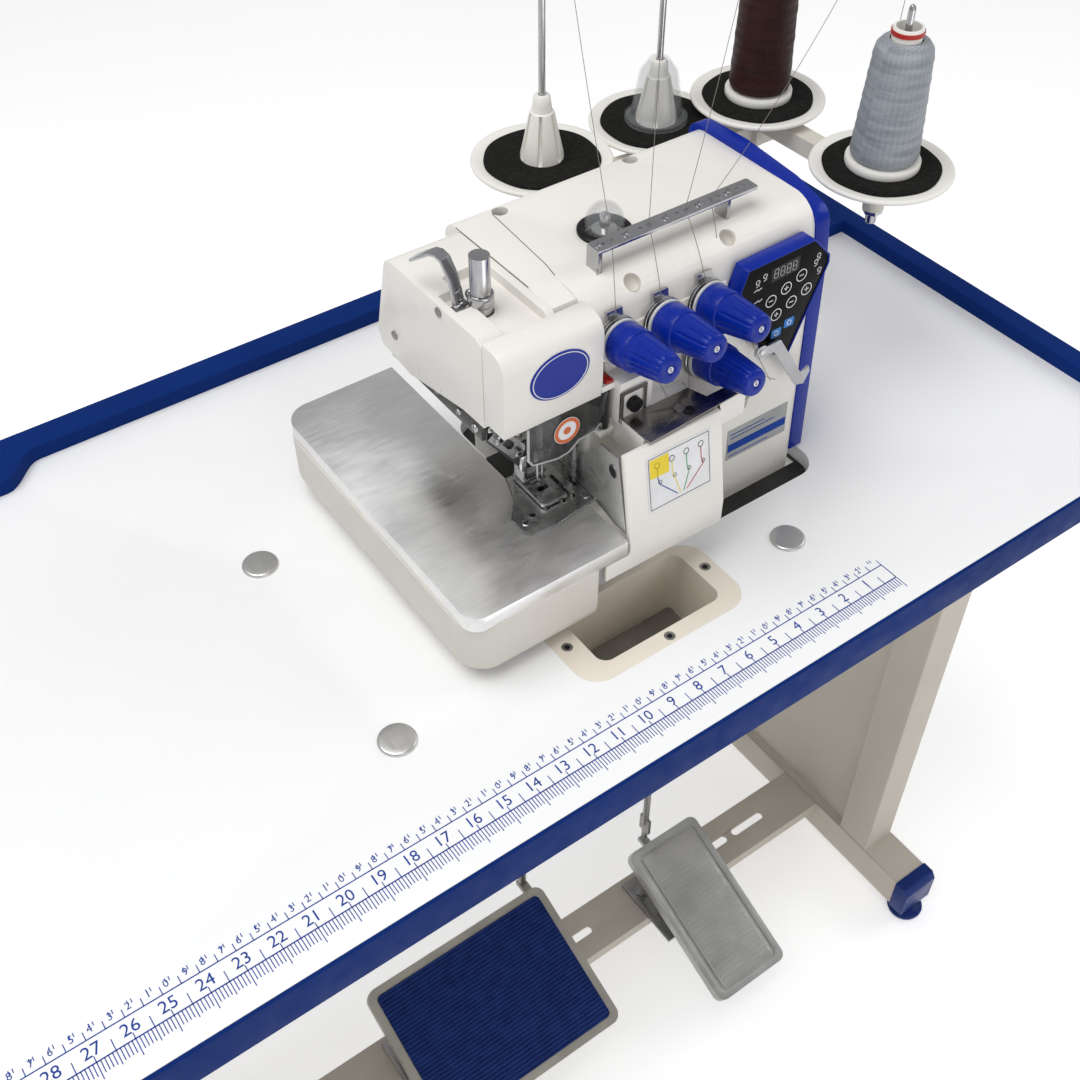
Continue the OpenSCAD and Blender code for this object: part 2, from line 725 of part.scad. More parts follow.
module upper_knife() color("silver") on_table() {
  box([56.5, 59.8], [-97, -84], [79.5, 118]);
  box([53, 62], [-98, -62], [118, 128]);
  rod_z(knife[0], knife[1], [127, 214], 4);
}

// ---- cloth plate and the covers below it ----

// slot for the needle plate, open to the right, with room for the plate to swing out
slot_outline = [[18.4, 200], [18.4, -59.3], [9.4, -83.8], [-4.7, -100.8], [-4.7, -119.4],
  [-0.4, -123.7], [22, -125.3], [64, -119.3], [80, -100], [80, 200]];

module cloth_plate() color("#b4b6b8") on_table() difference() {
  union() {
    // top sheet and the skirt that turns down round it
    slab([plate_x[0], plate_x[1]], [plate_y[0], -110], [64, plate_h], 14);
    slab([plate_x[0], plate_back + 30], [plate_y[0], plate_y[1]], [64, plate_h], 22);
    box([plate_x[1] - 14, plate_x[1]], [plate_y[0], -122], [64, plate_h]);
  }
  slab([plate_x[0] + 2.5, plate_back + 60], [plate_y[0] + 2.5, plate_y[1] - 2.5],
    [60, plate_h - 3], 20);
  translate([0, 0, 50]) linear_extrude(50) polygon(slot_outline);
}

module cloth_shell() color(cream) on_table() difference() {
  union() {
    difference() {
      union() {
        slab([plate_x[0] - 1, 33], [plate_y[0] - 1, plate_y[1] + 1], [22, 64], 24);
        slab([plate_x[0] + 4, 28], [plate_y[0] + 5, plate_y[1] - 5], [5, 22], 22);
      }
      slab([plate_x[0] + 8, 60], [plate_y[0] + 9, plate_y[1] - 9], [10, 70], 16);
      box([22, 60], [plate_y[0] + 9, 200], [0, 70]);
      // the floor stops before the bed
      box([-8, 60], [-140, 200], [0, 70]);
    }
    rod_z(swing_pin[0], swing_pin[1], [5, 64], 9);
  }
  // bore that turns on the pin standing on the table
  rod_z(swing_pin[0], swing_pin[1], [4, 61], 4 + run);
}

cover_outline = [[plate_y[0], 46], [plate_y[0], 70], [-157, 150.5], [-152.5, 150.5],
  [-166, 70], [-166, 46]];

module looper_cover() color(cream) on_table() difference() {
  union() {
    side([57, 150], cover_outline);
    side([34, 58], [[plate_y[0], 46], [plate_y[0], 62.5], [-166, 62.5], [-166, 46]]);
    // returned edge at the right
    side([146, 150], [[-168, 46], [-154.5, 150.5], [-151, 150.5], [-164.5, 46]]);
    // knuckles of the hinge
    for (x = [84, 129]) {
      rod_x([x, x + 10], hinge_y, hinge_z, 4);
      box([x, x + 10], [-167, hinge_y], [hinge_z - 4, hinge_z + 4]);
    }
  }
  rod_x([83, 140], hinge_y, hinge_z, 2 + run);
}

// folded sheet standing on the bed beside the needle, seen from above as [x, y]
// and from the side as [y, z]
fold_plan = [[57, -166], [57, -150], [61, -118], [62.5, -107], [62.5, -74], [64.8, -74],
  [64.8, -107], [63.3, -118.5], [59.5, -150], [59.5, -166]];
fold_side = [[-164, plate_h + 0.6], [-149.6, 145], [-124, 139.5], [-91.6, 99], [-74, 86],
  [-74, plate_h + 0.6]];

module chip_guard() color("#5b5e62") on_table() intersection() {
  translate([0, 0, plate_h]) linear_extrude(70) polygon(fold_plan);
  side([50, 80], fold_side);
}

module thread_plate() color("#8f9295") on_table() difference() {
  translate([0, 0, thread_plate_z]) linear_extrude(1.4)
    polygon([[80, -158], [80, -125], [143, -125], [148, -141], [172, -141], [179, -152]]);
  rod_z(122, -141, [150, 156], 2.5);
}

module guide_bar() color("silver") on_table() difference() {
  union() {
    slab([93, 244], [-74, -60], [264, 266.5], 2);
    box([93, 96], [-74, -60], [246, 265]);
    box([214, 217], [-74, -60], [246, 265]);
  }
  // the feet follow the rounded top of the head
  side([92, 218], head_outline);
  for (x = [106, 140, 174, 206, 232], dx = [-4, 4])
    rod_z(x + dx, -67, [263, 268], 1.4);
}

module oil_sight() color("#4a4c50") on_table() translate([131, -32, head_h]) {
  rotate_extrude() polygon([[16, -3], [21, -3], [21, 2.5], [20, 3.5], [16, 3.5]]);
  // clear dome, hollow, its skirt inside the ring
  rotate_extrude() polygon(concat([[14, -3], [16.1, -3]], arc(0, 9, 16.1, 0, 90, 8),
    arc(0, 9, 14, 90, 0, 8)));
}

// ---- tension controls ----

function knob_at(i) = i < 4 ? [knob_1[0] + (i - 1) * knob_gap, knob_1[1], knob_1[2] - (i - 1)]
  : knob_4;

// local z runs out along the post, 0 on the tension face
module tension_place(i) {
  on_table() translate(knob_at(i)) rotate([90 - knob_tilt, 0, 0]) children();
}

module tension_knob(i) color(blue) tension_place(i) difference() {
  rotate_extrude() polygon(concat([[0, 11], [17, 11], [17, 29], [15.6, 30.5], [11.6, 62]],
    arc(9.6, 62, 2, 0, 90, 4), [[0, 64]]));
  translate([0, 0, 10]) cylinder(r = 3 + run, h = 44);
  for (a = [0:24:336]) rotate([0, 0, a]) translate([17.6, 0, 31]) rotate([0, -7.5, 0])
    cylinder(r = 1.6, h = 34, $fn = 16);
}

module tension_knob_1() tension_knob(1);
module tension_knob_2() tension_knob(2);
module tension_knob_3() tension_knob(3);
module tension_knob_4() tension_knob(4);

module tension_discs() color("silver") for (i = [1:4]) tension_place(i) {
  // discs, washer, the small bracket above them and the post
  rotate_extrude() polygon([[0, 0.6], [15, 0.6], [18.5, 3.2], [18.5, 3.8], [15, 4.4],
    [18.5, 5.4], [18.5, 6], [14, 7.2], [14, 8.4], [18, 8.4], [18, 10.6], [0, 10.6]]);
  translate([-7, 12, 0.6]) cube([14, 12, 2.5]);
  translate([0, 0, 0.3]) cylinder(r = 3, h = 51.7);
}

module thread_lever() color("silver") on_table() translate([222, -119, 150]) {
  difference() {
    union() {
      rotate([90, 0, 0]) cylinder(r = 6, h = 3);
      front([-3, -1], [[-5, 4], [20, 3], [50, -44], [58, -40], [60, -46], [55, -57], [45, -54],
        [14, -6], [-4, -5]]);
    }
    rotate([90, 0, 0]) translate([0, 0, -1]) cylinder(r = 2 + run, h = 6);
  }
}

module feed_button() color("#202124") on_table() rod_y(feed_x, [-129, -106], 165, 6);

module main_shaft() color("silver") on_table() {
  rod_x([head_left + 1, 326], shaft_y, shaft_z, shaft_r);
  translate([0, 3, 0]) rod_x([92, 102], shaft_y, shaft_z, 15);
  translate([0, 0, 3]) rod_x([122, 130], shaft_y, shaft_z, 13);
  rod_x([196, 256], shaft_y, shaft_z, 27);
}

module handwheel() color(blue) on_table() difference() {
  translate([304, shaft_y, shaft_z]) rotate([0, 90, 0]) rotate_extrude()
    polygon(concat([[shaft_r, 0], [wheel_d / 2 - 3, 0]], arc(wheel_d / 2 - 4, 4, 4, -80, 0, 4),
      arc(wheel_d / 2 - 4, 18, 4, 0, 90, 4), [[wheel_d / 2 - 10, 22], [wheel_d / 2 - 12, 8],
      [18, 8], [16, 26], [shaft_r, 26]]));
}

// ======== thread stand ========

module spool_frame() color("#d9d5cc") on_table() {
  low = [disc_h - 42, disc_h - 26];
  top = [disc_h - 26.5, disc_h - 10];
  difference() {
    union() {
      // bar behind, bar to the right, arm to the lower disc, column and its foot
      flat_bar(discs[0], discs[2], low, 18, 12);
      flat_bar(discs[2], discs[3], top, 18, 12);
      box([discs[1][0] - 9, discs[1][0] + 9], [discs[1][1] - 34, discs[1][1] + 9], low);
      box([column[0] - 36, column[0] + 9], [column[1] - 44, column[1] + 9], low);
      rod_z(column[0], column[1], [rim_up, low[1]], 8);
      rod_z(column[0], column[1], [rim_up, rim_up + 6], 22);
      for (d = discs) rod_z(d[0], d[1], [low[0], disc_h - 7 + d[2]], 9.5);
    }
    for (d = discs) rod_z(d[0], d[1], [low[0] - 1, disc_h], pin_r);
  }
}

module spool_discs() color(cream) on_table() for (d = discs) translate(d)
  rotate_extrude() polygon(concat([[pin_r, disc_h - 7], [26, disc_h - 7], [46, disc_h - 3],
    [disc_d / 2 - 3, disc_h - 3]], arc(disc_d / 2 - 2, disc_h - 1, 2, -90, 90, 6),
    [[disc_d / 2 - 10, disc_h - 1], [pin_r, disc_h - 1]]));

module foam_pads() color("#1d1d1f") on_table() for (d = discs) translate(d)
  rotate_extrude() polygon([[pin_r + 0.1, disc_h - 1], [disc_d / 2 - 11, disc_h - 1],
    [disc_d / 2 - 12, disc_h + 2], [pin_r + 0.1, disc_h + 2]]);

module spool_pins() on_table() for (i = [0:3]) {
  d = discs[i];
  // the last two pins end just above their cones
  top = disc_h + d[2] + (i < 2 ? pin_len : cone_pin);
  translate([d[0], d[1], 0]) color("silver") {
    rod_z(0, 0, [disc_h - 56, disc_h - 42], 5);
    rod_z(0, 0, [disc_h - 42.1, top - 4], pin_r);
    translate([0, 0, top - 4]) cylinder(r1 = pin_r, r2 = 1.4, h = 4);
  }
  // tapered holder that centres a cone
  if (i < 2) translate([d[0], d[1], disc_h + d[2]]) color(cream) difference() {
    union() {
      translate([0, 0, 2]) cylinder(r1 = 19, r2 = 11, h = 42);
      translate([0, 0, 43]) cylinder(r1 = 9, r2 = 7, h = 15);
    }
    for (a = [30:60:330]) rotate([0, 0, a]) translate([11, -1.2, 6]) cube([12, 2.4, 30]);
  }
}

module clear_cap() color("#d5dde2") on_table()
  translate(discs[1] + [0, 0, disc_h + 2]) rotate_extrude()
    polygon([[29, 0], [29, 4], [24, 8], [18, 46], [9.5, 58], [9.5, 56.5], [16.6, 45.4],
      [22.4, 7], [27, 3.4], [27, 0]]);

module cone(d, r0, r1, h, core_r, flange_r) {
  translate([discs[d][0], discs[d][1], disc_h + 2]) difference() {
    rotate_extrude() polygon(concat([[0, 0], [flange_r, 0], [flange_r, 7], [r0 - 3, 7]],
      arc(r0 - 3, 11, 4, -90, 0, 4), arc(r1 - 8, h - 12, 8, 0, 80, 4),
      [[core_r, h - 2], [core_r, h + 9], [core_r - 3, h + 9], [core_r - 3, h - 20], [0, h - 20]]));
    translate([0, 0, -1]) cylinder(r = pin_r + 0.3, h = h + 20);
  }
}

module thread_cones() on_table() {
  color("#4a1014") cone(2, 28, 24, 150, 13, 31);
  color("#8f98a5") cone(3, 29.5, 24.5, 112, 13, 30);
}

// height range of the guide arm above disc i; neighbours lie at two levels
function guide_arm_z(i) = [guide_h - 30 + (i % 2) * 10, guide_h - 26 + (i % 2) * 10];

module guide_mast() color("silver") on_table() {
  clamp = [disc_h - 66, disc_h - 52];
  difference() {
    union() {
      rod_z(mast[0], mast[1], [rim_up, guide_h], 8);
      rod_z(mast[0], mast[1], [rim_up, rim_up + 8], 24);
      // clamp to the column, then the guide arms with an eye above each cone
      rod_z(mast[0], mast[1], clamp, 14);
      rod_z(column[0], column[1], clamp, 14);
      flat_bar(mast, column, [clamp[0] + 3, clamp[1] - 3], 9, 0);
      rod_z(mast[0], mast[1], [guide_h - 38, guide_h - 8], 13);
      for (i = [0:3]) {
        flat_bar(mast, discs[i], guide_arm_z(i), 7, 0);
        rod_z(discs[i][0], discs[i][1], guide_arm_z(i) + [-1, 1], 10);
      }
    }
    for (d = discs) rod_z(d[0], d[1], [guide_h - 40, guide_h], 5);
    rod_z(column[0], column[1], [clamp[0] - 1, clamp[1] + 1], 8 + run);
  }
}

table_top();
edge_rim();
cap_buttons();
waste_chute();
legs();
foot_caps();
levelling_feet();
cross_rail();
screws();
hinge_brackets();
treadle_frame();
treadle_mat();
pitman_rod();
speed_unit();
speed_lever();
lift_pedal();
lift_link();
lift_crank();
bed_casting();
head_casting();
end_cover();
panel_bezel();
panel_glass();
face_cover();
front_cover();
badge_plate();
eye_guard();
release_lever();
pressure_screw();
presser_arm();
presser_foot();
needle_bar();
needle_plate();
feed_dogs();
upper_looper();
lower_looper();
upper_knife();
cloth_plate();
cloth_shell();
looper_cover();
chip_guard();
thread_plate();
guide_bar();
oil_sight();
tension_knob_1();
tension_knob_2();
tension_knob_3();
tension_knob_4();
tension_discs();
thread_lever();
feed_button();
main_shaft();
handwheel();
spool_frame();
spool_discs();
foam_pads();
spool_pins();
clear_cap();
thread_cones();
guide_mast();
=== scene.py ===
import math
import random

import bmesh
import bpy
from mathutils import Matrix, Vector


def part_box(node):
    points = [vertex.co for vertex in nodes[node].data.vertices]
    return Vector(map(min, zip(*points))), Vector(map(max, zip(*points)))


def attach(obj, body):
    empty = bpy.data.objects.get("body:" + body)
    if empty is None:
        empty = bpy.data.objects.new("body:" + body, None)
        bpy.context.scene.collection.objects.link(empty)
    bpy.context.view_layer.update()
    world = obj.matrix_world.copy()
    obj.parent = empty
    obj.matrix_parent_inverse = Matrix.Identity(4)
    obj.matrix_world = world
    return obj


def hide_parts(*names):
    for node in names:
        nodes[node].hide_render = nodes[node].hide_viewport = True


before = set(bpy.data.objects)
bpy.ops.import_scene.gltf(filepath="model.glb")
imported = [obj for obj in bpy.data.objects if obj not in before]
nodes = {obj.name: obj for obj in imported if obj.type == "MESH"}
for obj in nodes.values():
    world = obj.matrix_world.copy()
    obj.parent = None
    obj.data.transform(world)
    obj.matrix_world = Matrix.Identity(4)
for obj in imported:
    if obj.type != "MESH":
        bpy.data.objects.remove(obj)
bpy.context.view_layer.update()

scene = bpy.context.scene
MM = 0.001
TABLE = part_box("table_top")[1].z

# ---------------- camera, light, floor


def add_camera():
    """The viewing angle: from the front left, well above the table."""
    yaw, pitch, roll = (math.radians(a) for a in (35.419, 45.712, -0.182))
    forward = Vector((math.sin(yaw) * math.cos(pitch), math.cos(yaw) * math.cos(pitch), -math.sin(pitch)))
    right = Vector((math.cos(yaw), -math.sin(yaw), 0))
    up = right.cross(forward)
    rolled_right = right * math.cos(roll) + up * math.sin(roll)
    rolled_up = up * math.cos(roll) - right * math.sin(roll)
    turn = Matrix((rolled_right, rolled_up, -forward)).transposed().to_4x4()
    data = bpy.data.cameras.new("camera")
    data.sensor_width = 36
    data.lens = 44.58
    data.clip_start = 0.01
    data.clip_end = 50
    camera = bpy.data.objects.new("camera", data)
    camera.matrix_world = Matrix.Translation((-0.407, -0.7045, 1.550)) @ turn
    scene.collection.objects.link(camera)
    scene.camera = camera


def add_light(name, place, target, size, power):
    data = bpy.data.lights.new(name, "AREA")
    data.size = size
    data.energy = power
    light = bpy.data.objects.new(name, data)
    light.location = place
    light.rotation_euler = (Vector(target) - Vector(place)).to_track_quat("-Z", "Y").to_euler()
    scene.collection.objects.link(light)


def add_studio():
    world = bpy.data.worlds.new("studio")
    world.use_nodes = True
    sky = world.node_tree.nodes["Background"]
    sky.inputs["Color"].default_value = (0.98, 0.985, 1.0, 1)
    sky.inputs["Strength"].default_value = 0.40
    scene.world = world
    head = (0.1, -0.05, 0.85)
    add_light("key", (-0.9, 0.1, 3.4), head, 2.2, 58)
    add_light("front", (-0.6, -3.4, 2.2), head, 2.0, 13)
    add_light("right", (2.6, -0.8, 2.4), head, 1.6, 16)
    add_light("low", (0.5, -2.6, 0.4), (0.4, 0.0, 0.2), 1.4, 10)
    scene.view_settings.view_transform = "Standard"


def add_floor():
    """A broad pale floor, lifted a little by its own light."""
    size = 6.0
    mesh = bpy.data.meshes.new("floor")
    corners = [(-size, -size, 0), (size, -size, 0), (size, size, 0), (-size, size, 0)]
    mesh.from_pydata(corners, [], [[0, 1, 2, 3]])
    g = Graph("floor_pale")
    g.colour(g.blend(g.noise(0.8, 3), (0.86, 0.86, 0.86), (0.90, 0.90, 0.90)))
    g.constant(Roughness=0.6, Emission_Color=(1, 1, 1, 1), Emission_Strength=0.42, Specular_IOR_Level=0.1)
    mesh.materials.append(g.material)
    floor = bpy.data.objects.new("floor", mesh)
    scene.collection.objects.link(floor)


# ---------------- materials

_materials = {}


class Graph:
    """Short names for building a node material."""

    def __init__(self, name):
        self.material = bpy.data.materials.new(name)
        self.material.use_nodes = True
        self.tree = self.material.node_tree
        self.shader = self.tree.nodes["Principled BSDF"]
        self.coords = self.add("ShaderNodeTexCoord").outputs["Object"]

    def add(self, kind, **settings):
        node = self.tree.nodes.new(kind)
        for key, value in settings.items():
            if key in node.inputs:
                node.inputs[key].default_value = value
            else:
                setattr(node, key, value)
        return node

    def voronoi(self, feature, scale):
        """Distance to the nearest cell's centre."""
        node = self.add("ShaderNodeTexVoronoi", feature=feature, Scale=scale)
        self.link(self.coords, node.inputs["Vector"])
        return node.outputs["Distance"]

    def link(self, source, target):
        self.tree.links.new(source, target)

    def stretched(self, scale):
        """Object coordinates multiplied by scale, a number for each axis."""
        node = self.add("ShaderNodeMapping", Scale=scale)
        self.link(self.coords, node.inputs["Vector"])
        return node.outputs["Vector"]

    def noise(self, scale, detail, stretch=(1, 1, 1), roughness=0.5):
        node = self.add("ShaderNodeTexNoise", Scale=scale, Detail=detail, Roughness=roughness)
        self.link(self.stretched(stretch), node.inputs["Vector"])
        return node.outputs["Fac"]

    def wave(self, scale, direction, distortion):
        node = self.add("ShaderNodeTexWave", wave_type="BANDS", bands_direction=direction, Scale=scale,
                        Distortion=distortion)
        self.link(self.coords, node.inputs["Vector"])
        return node.outputs["Fac"]

    def span(self, value, low, high, start=0.3, end=0.7):
        """value spread from low to high."""
        limits = {"From Min": start, "From Max": end, "To Min": low, "To Max": high}
        node = self.add("ShaderNodeMapRange", **limits)
        self.link(value, node.inputs["Value"])
        return node.outputs["Result"]

    def blend(self, value, first, second, start=0.3, end=0.7):
        """A colour between first and second."""
        node = self.add("ShaderNodeValToRGB")
        for stop, position, colour in zip(node.color_ramp.elements, (start, end), (first, second)):
            stop.position = position
            stop.color = (*colour, 1)
        self.link(value, node.inputs["Fac"])
        return node.outputs["Color"]

    def sum(self, *values, operation="ADD"):
        """Sum, or another operation, of sockets and plain numbers."""
        node = self.add("ShaderNodeMath", operation=operation)
        for value, socket in zip(values, node.inputs):
            if isinstance(value, float):
                socket.default_value = value
            else:
                self.link(value, socket)
        return node.outputs["Value"]

    def bump(self, height, strength, distance):
        node = self.add("ShaderNodeBump", Strength=strength, Distance=distance)
        self.link(height, node.inputs["Height"])
        self.link(node.outputs["Normal"], self.shader.inputs["Normal"])

    def colour(self, socket):
        self.link(socket, self.shader.inputs["Base Color"])

    def rough(self, socket):
        self.link(socket, self.shader.inputs["Roughness"])

    def constant(self, **values):
        for key, value in values.items():
            self.shader.inputs[key.replace("_", " ")].default_value = value


def shade(colour, factor):
    return tuple(min(1.0, c * factor) for c in colour)


def plain_paint(name, colour, rough, spread, speck=900, bump=0.03, coat=0.0, patch=9, shine=0.3):
    """Paint or moulded plastic: slight patchiness, fine grain and an uneven gloss."""
    g = Graph(name)
    g.colour(g.blend(g.noise(patch, 4), shade(colour, 1 - spread), shade(colour, 1 + spread)))
    g.rough(g.span(g.noise(patch * 6, 3), rough * 0.85, rough * 1.2))
    g.bump(g.noise(speck, 2), bump, 0.0002)
    g.constant(Specular_IOR_Level=shine)
    if coat:
        g.constant(Coat_Weight=coat, Coat_Roughness=0.06)
    return g.material


def laminate():
    g = Graph("laminate")
    g.colour(g.blend(g.noise(3, 5), (0.86, 0.865, 0.87), (0.90, 0.90, 0.90)))
    g.rough(g.span(g.noise(40, 4), 0.30, 0.42))
    g.bump(g.noise(1400, 3), 0.03, 0.0001)
    g.constant(Specular_IOR_Level=0.25)
    return g.material


def brushed(name, colour, stretch, rough, swirl=0.0):
    """Stainless sheet: long fine scratches along one axis, with cloudy wear."""
    g = Graph(name)
    lines = g.noise(420, 3, stretch, 0.6)
    cloud = g.noise(9, 5, (1, 1.3, 1), 0.55)
    both = g.sum(g.span(lines, 0, 0.28), g.span(cloud, 0, 0.72))
    g.colour(g.blend(both, shade(colour, 0.86), shade(colour, 1.08), 0.15, 0.9))
    g.rough(g.span(both, rough * 0.8, rough * 1.25, 0.1, 0.9))
    g.bump(lines, 0.03, 0.00004)
    g.constant(Metallic=1.0, Anisotropic=swirl)
    return g.material


def metal(name, colour, rough, scratch=600, bump=0.01):
    g = Graph(name)
    g.colour(g.blend(g.noise(60, 4), shade(colour, 0.93), shade(colour, 1.05)))
    g.rough(g.span(g.noise(120, 4, (1, 1, 3)), rough * 0.8, rough * 1.3))
    g.bump(g.noise(scratch, 3, (1, 1, 4)), bump, 0.00005)
    g.constant(Metallic=1.0)
    return g.material


def hammered(name, colour, metallic, rough, size, bump):
    g = Graph(name)
    g.colour(g.blend(g.noise(22, 5), shade(colour, 0.82), shade(colour, 1.12)))
    g.rough(g.span(g.noise(70, 4), rough * 0.75, rough * 1.25))
    g.bump(g.voronoi("SMOOTH_F1", size), bump, 0.0006)
    g.constant(Metallic=metallic)
    return g.material


def woven_rubber():
    g = Graph("treadle_rubber")
    rows = g.wave(78, "Y", 1.2)
    strands = g.wave(120, "X", 5.0)
    weave = g.sum(g.span(rows, 0.0, 0.78, 0, 1), g.span(strands, 0.0, 0.22, 0, 1))
    worn = g.sum(weave, g.span(g.noise(70, 4), -0.25, 0.25))
    g.colour(g.blend(worn, (0.0035, 0.011, 0.072), (0.013, 0.036, 0.165), 0.05, 0.95))
    g.rough(g.span(weave, 0.85, 0.65, 0, 1))
    g.bump(weave, 0.7, 0.0007)
    g.constant(Specular_IOR_Level=0.12)
    return g.material


def foam():
    g = Graph("foam")
    g.colour(g.blend(g.noise(260, 6), (0.008, 0.008, 0.007), (0.017, 0.017, 0.016)))
    g.bump(g.voronoi("F1", 900), 0.6, 0.0006)
    g.constant(Roughness=0.95, Specular_IOR_Level=0.1)
    return g.material


def wound(name, dark, light, centre):
    """Thread wound on a cone: fine crossing turns, with broad bands of sheen."""
    g = Graph(name)
    place = g.add("ShaderNodeMapping", Location=(-centre[0], -centre[1], 0))
    g.link(g.coords, place.inputs["Vector"])
    apart = g.add("ShaderNodeSeparateXYZ")
    g.link(place.outputs["Vector"], apart.inputs["Vector"])
    height = apart.outputs["Z"]
    angle = g.sum(apart.outputs["Y"], apart.outputs["X"], operation="ARCTAN2")

    def turns(rise, pitch):
        """A wave of height along the cone, leaning by rise metres a turn."""
        lean = g.sum(angle, rise / (2 * math.pi), height, operation="MULTIPLY_ADD")
        return g.sum(g.sum(lean, 2 * math.pi / pitch, operation="MULTIPLY"), operation="SINE")

    fine = g.sum(turns(0.016, 0.0009), turns(-0.016, 0.0009), operation="MAXIMUM")
    bands = g.sum(turns(0.032, 0.021), turns(-0.032, 0.017), operation="MULTIPLY")
    soft = g.sum(g.span(bands, 0.0, 0.28, -1, 1), g.span(g.noise(90, 4, (0.4, 0.4, 3)), 0.0, 0.34))
    mixed = g.sum(g.span(fine, 0.0, 0.38, -1, 1), soft)
    g.colour(g.blend(mixed, dark, light, 0.1, 0.85))
    g.rough(g.span(bands, 0.35, 0.6, -1, 1))
    g.bump(fine, 0.5, 0.0003)
    g.constant(Specular_IOR_Level=0.2)
    return g.material


def clear(name, colour, alpha, rough):
    """Thin clear moulding: mostly see-through, with a bright gloss."""
    g = Graph(name)
    g.colour(g.blend(g.noise(50, 3), shade(colour, 0.92), shade(colour, 1.05)))
    g.rough(g.span(g.noise(200, 3), rough * 0.6, rough * 1.6))
    g.constant(Alpha=alpha, IOR=1.49, Specular_IOR_Level=0.8)
    return g.material


def make_materials():
    m = _materials
    m["laminate"] = laminate()
    m["rim"] = plain_paint("rim_blue", (0.004, 0.024, 0.148), 0.50, 0.08, shine=0.04)
    m["blue"] = plain_paint("moulded_blue", (0.002, 0.019, 0.270), 0.26, 0.07, shine=0.18, coat=0.10)
    m["deep_blue"] = plain_paint("foot_blue", (0.007, 0.026, 0.155), 0.34, 0.10, bump=0.06, shine=0.15)
    m["cream"] = plain_paint("enamel", (0.785, 0.76, 0.715), 0.32, 0.02, coat=0.15)
    m["shell"] = plain_paint("moulded_cream", (0.67, 0.64, 0.585), 0.42, 0.03, bump=0.04)
    m["chute"] = plain_paint("chute_cream", (0.74, 0.68, 0.585), 0.45, 0.03, bump=0.04)
    m["stand"] = plain_paint("stand_paint", (0.50, 0.46, 0.40), 0.50, 0.04, 500, 0.08, shine=0.2)
    m["frame"] = plain_paint("frame_paint", (0.62, 0.59, 0.52), 0.42, 0.04, bump=0.05)
    m["disc"] = plain_paint("disc_cream", (0.80, 0.78, 0.73), 0.36, 0.03)
    # real black plastic and print, and painted shade in holes, slots and sockets
    m["black"] = plain_paint("black_plastic", (0.008, 0.008, 0.009), 0.35, 0.2, shine=0.2)
    # near-black casting, and painted shade in screw slots and the table opening
    m["dark"] = plain_paint("dark_casting", (0.030, 0.029, 0.028), 0.42, 0.2, 400, 0.12, patch=40, shine=0.2)
    m["chrome"] = metal("chrome", (0.48, 0.48, 0.49), 0.16, 500)
    m["ground"] = metal("ground_steel", (0.60, 0.60, 0.60), 0.24, 900)
    m["guard_sheet"] = metal("guard_sheet", (0.50, 0.50, 0.49), 0.48)
    m["needle_sheet"] = metal("needle_sheet", (0.52, 0.52, 0.51), 0.30)
    m["link"] = hammered("link_casting", (0.085, 0.083, 0.080), 0.7, 0.36, 700, 0.12)
    m["zinc"] = metal("zinc_steel", (0.31, 0.305, 0.295), 0.36, bump=0.03)
    m["plate"] = brushed("brushed_plate", (0.86, 0.855, 0.845), (0.12, 1.0, 0.3), 0.36, 0.3)
    m["sheet"] = brushed("thread_sheet", (0.30, 0.28, 0.26), (0.1, 1.0, 0.4), 0.24, 0.2)
    m["cap"] = brushed("cap_steel", (0.62, 0.61, 0.59), (1.0, 0.1, 1.0), 0.30)
    m["hammered"] = hammered("hammered_paint", (0.34, 0.32, 0.28), 0.2, 0.45, 330, 0.35)
    m["alloy"] = hammered("cast_alloy", (0.42, 0.42, 0.41), 0.7, 0.40, 420, 0.30)
    m["rubber"] = woven_rubber()
    m["foam"] = foam()
    m["clear"] = clear("clear_plastic", (0.42, 0.44, 0.45), 0.15, 0.04)
    m["smoke"] = clear("smoky_plastic", (0.020, 0.020, 0.021), 0.72, 0.10)
    # painted highlight for the eye guard's bright edge
    m["edge"] = clear("painted_edge_highlight", (0.62, 0.63, 0.63), 0.75, 0.15)
    m["glass_key"] = plain_paint("panel_black", (0.003, 0.003, 0.004), 0.22, 0.2, bump=0.01, shine=0.06)
    m["print_blue"] = plain_paint("printed_blue", (0.010, 0.050, 0.30), 0.55, 0.12, patch=60, shine=0.1)
    m["print_white"] = plain_paint("printed_white", (0.76, 0.76, 0.77), 0.45, 0.06, patch=60)
    m["print_cyan"] = plain_paint("printed_cyan", (0.02, 0.17, 0.52), 0.45, 0.1, patch=60)
    m["label_grey"] = plain_paint("label_grey", (0.34, 0.35, 0.35), 0.35, 0.1, patch=60)
    m["label_pale"] = plain_paint("washer_grey", (0.56, 0.57, 0.58), 0.35, 0.1, patch=60)
    m["red"] = plain_paint("red_plastic", (0.42, 0.02, 0.012), 0.35, 0.08)
    m["orange"] = plain_paint("orange_plastic", (0.62, 0.14, 0.045), 0.4, 0.08)
    m["yellow"] = plain_paint("printed_yellow", (0.78, 0.60, 0.03), 0.45, 0.06)
    m["green"] = plain_paint("printed_green", (0.03, 0.30, 0.09), 0.45, 0.08)
    # real seam lines on the head's top, and painted shade on the chute floor
    m["shadow"] = plain_paint("seam_and_shade_grey", (0.17, 0.155, 0.135), 0.55, 0.15, patch=25, shine=0.15)
    m["thread"] = plain_paint("sewing_thread", (0.17, 0.155, 0.14), 0.7, 0.1)
    m["grey_thread"] = wound("grey_winding", (0.17, 0.19, 0.215), (0.40, 0.425, 0.455), disc_centre(3))
    m["maroon_thread"] = wound("maroon_winding", (0.008, 0.002, 0.0019), (0.046, 0.012, 0.010),
                               disc_centre(2))


def mat(name):
    return _materials[name]


# ---------------- mesh helpers

# steps round a turned part, and how far a print stands off its surface
CIRCLE = 48
PRINT = 0.0002


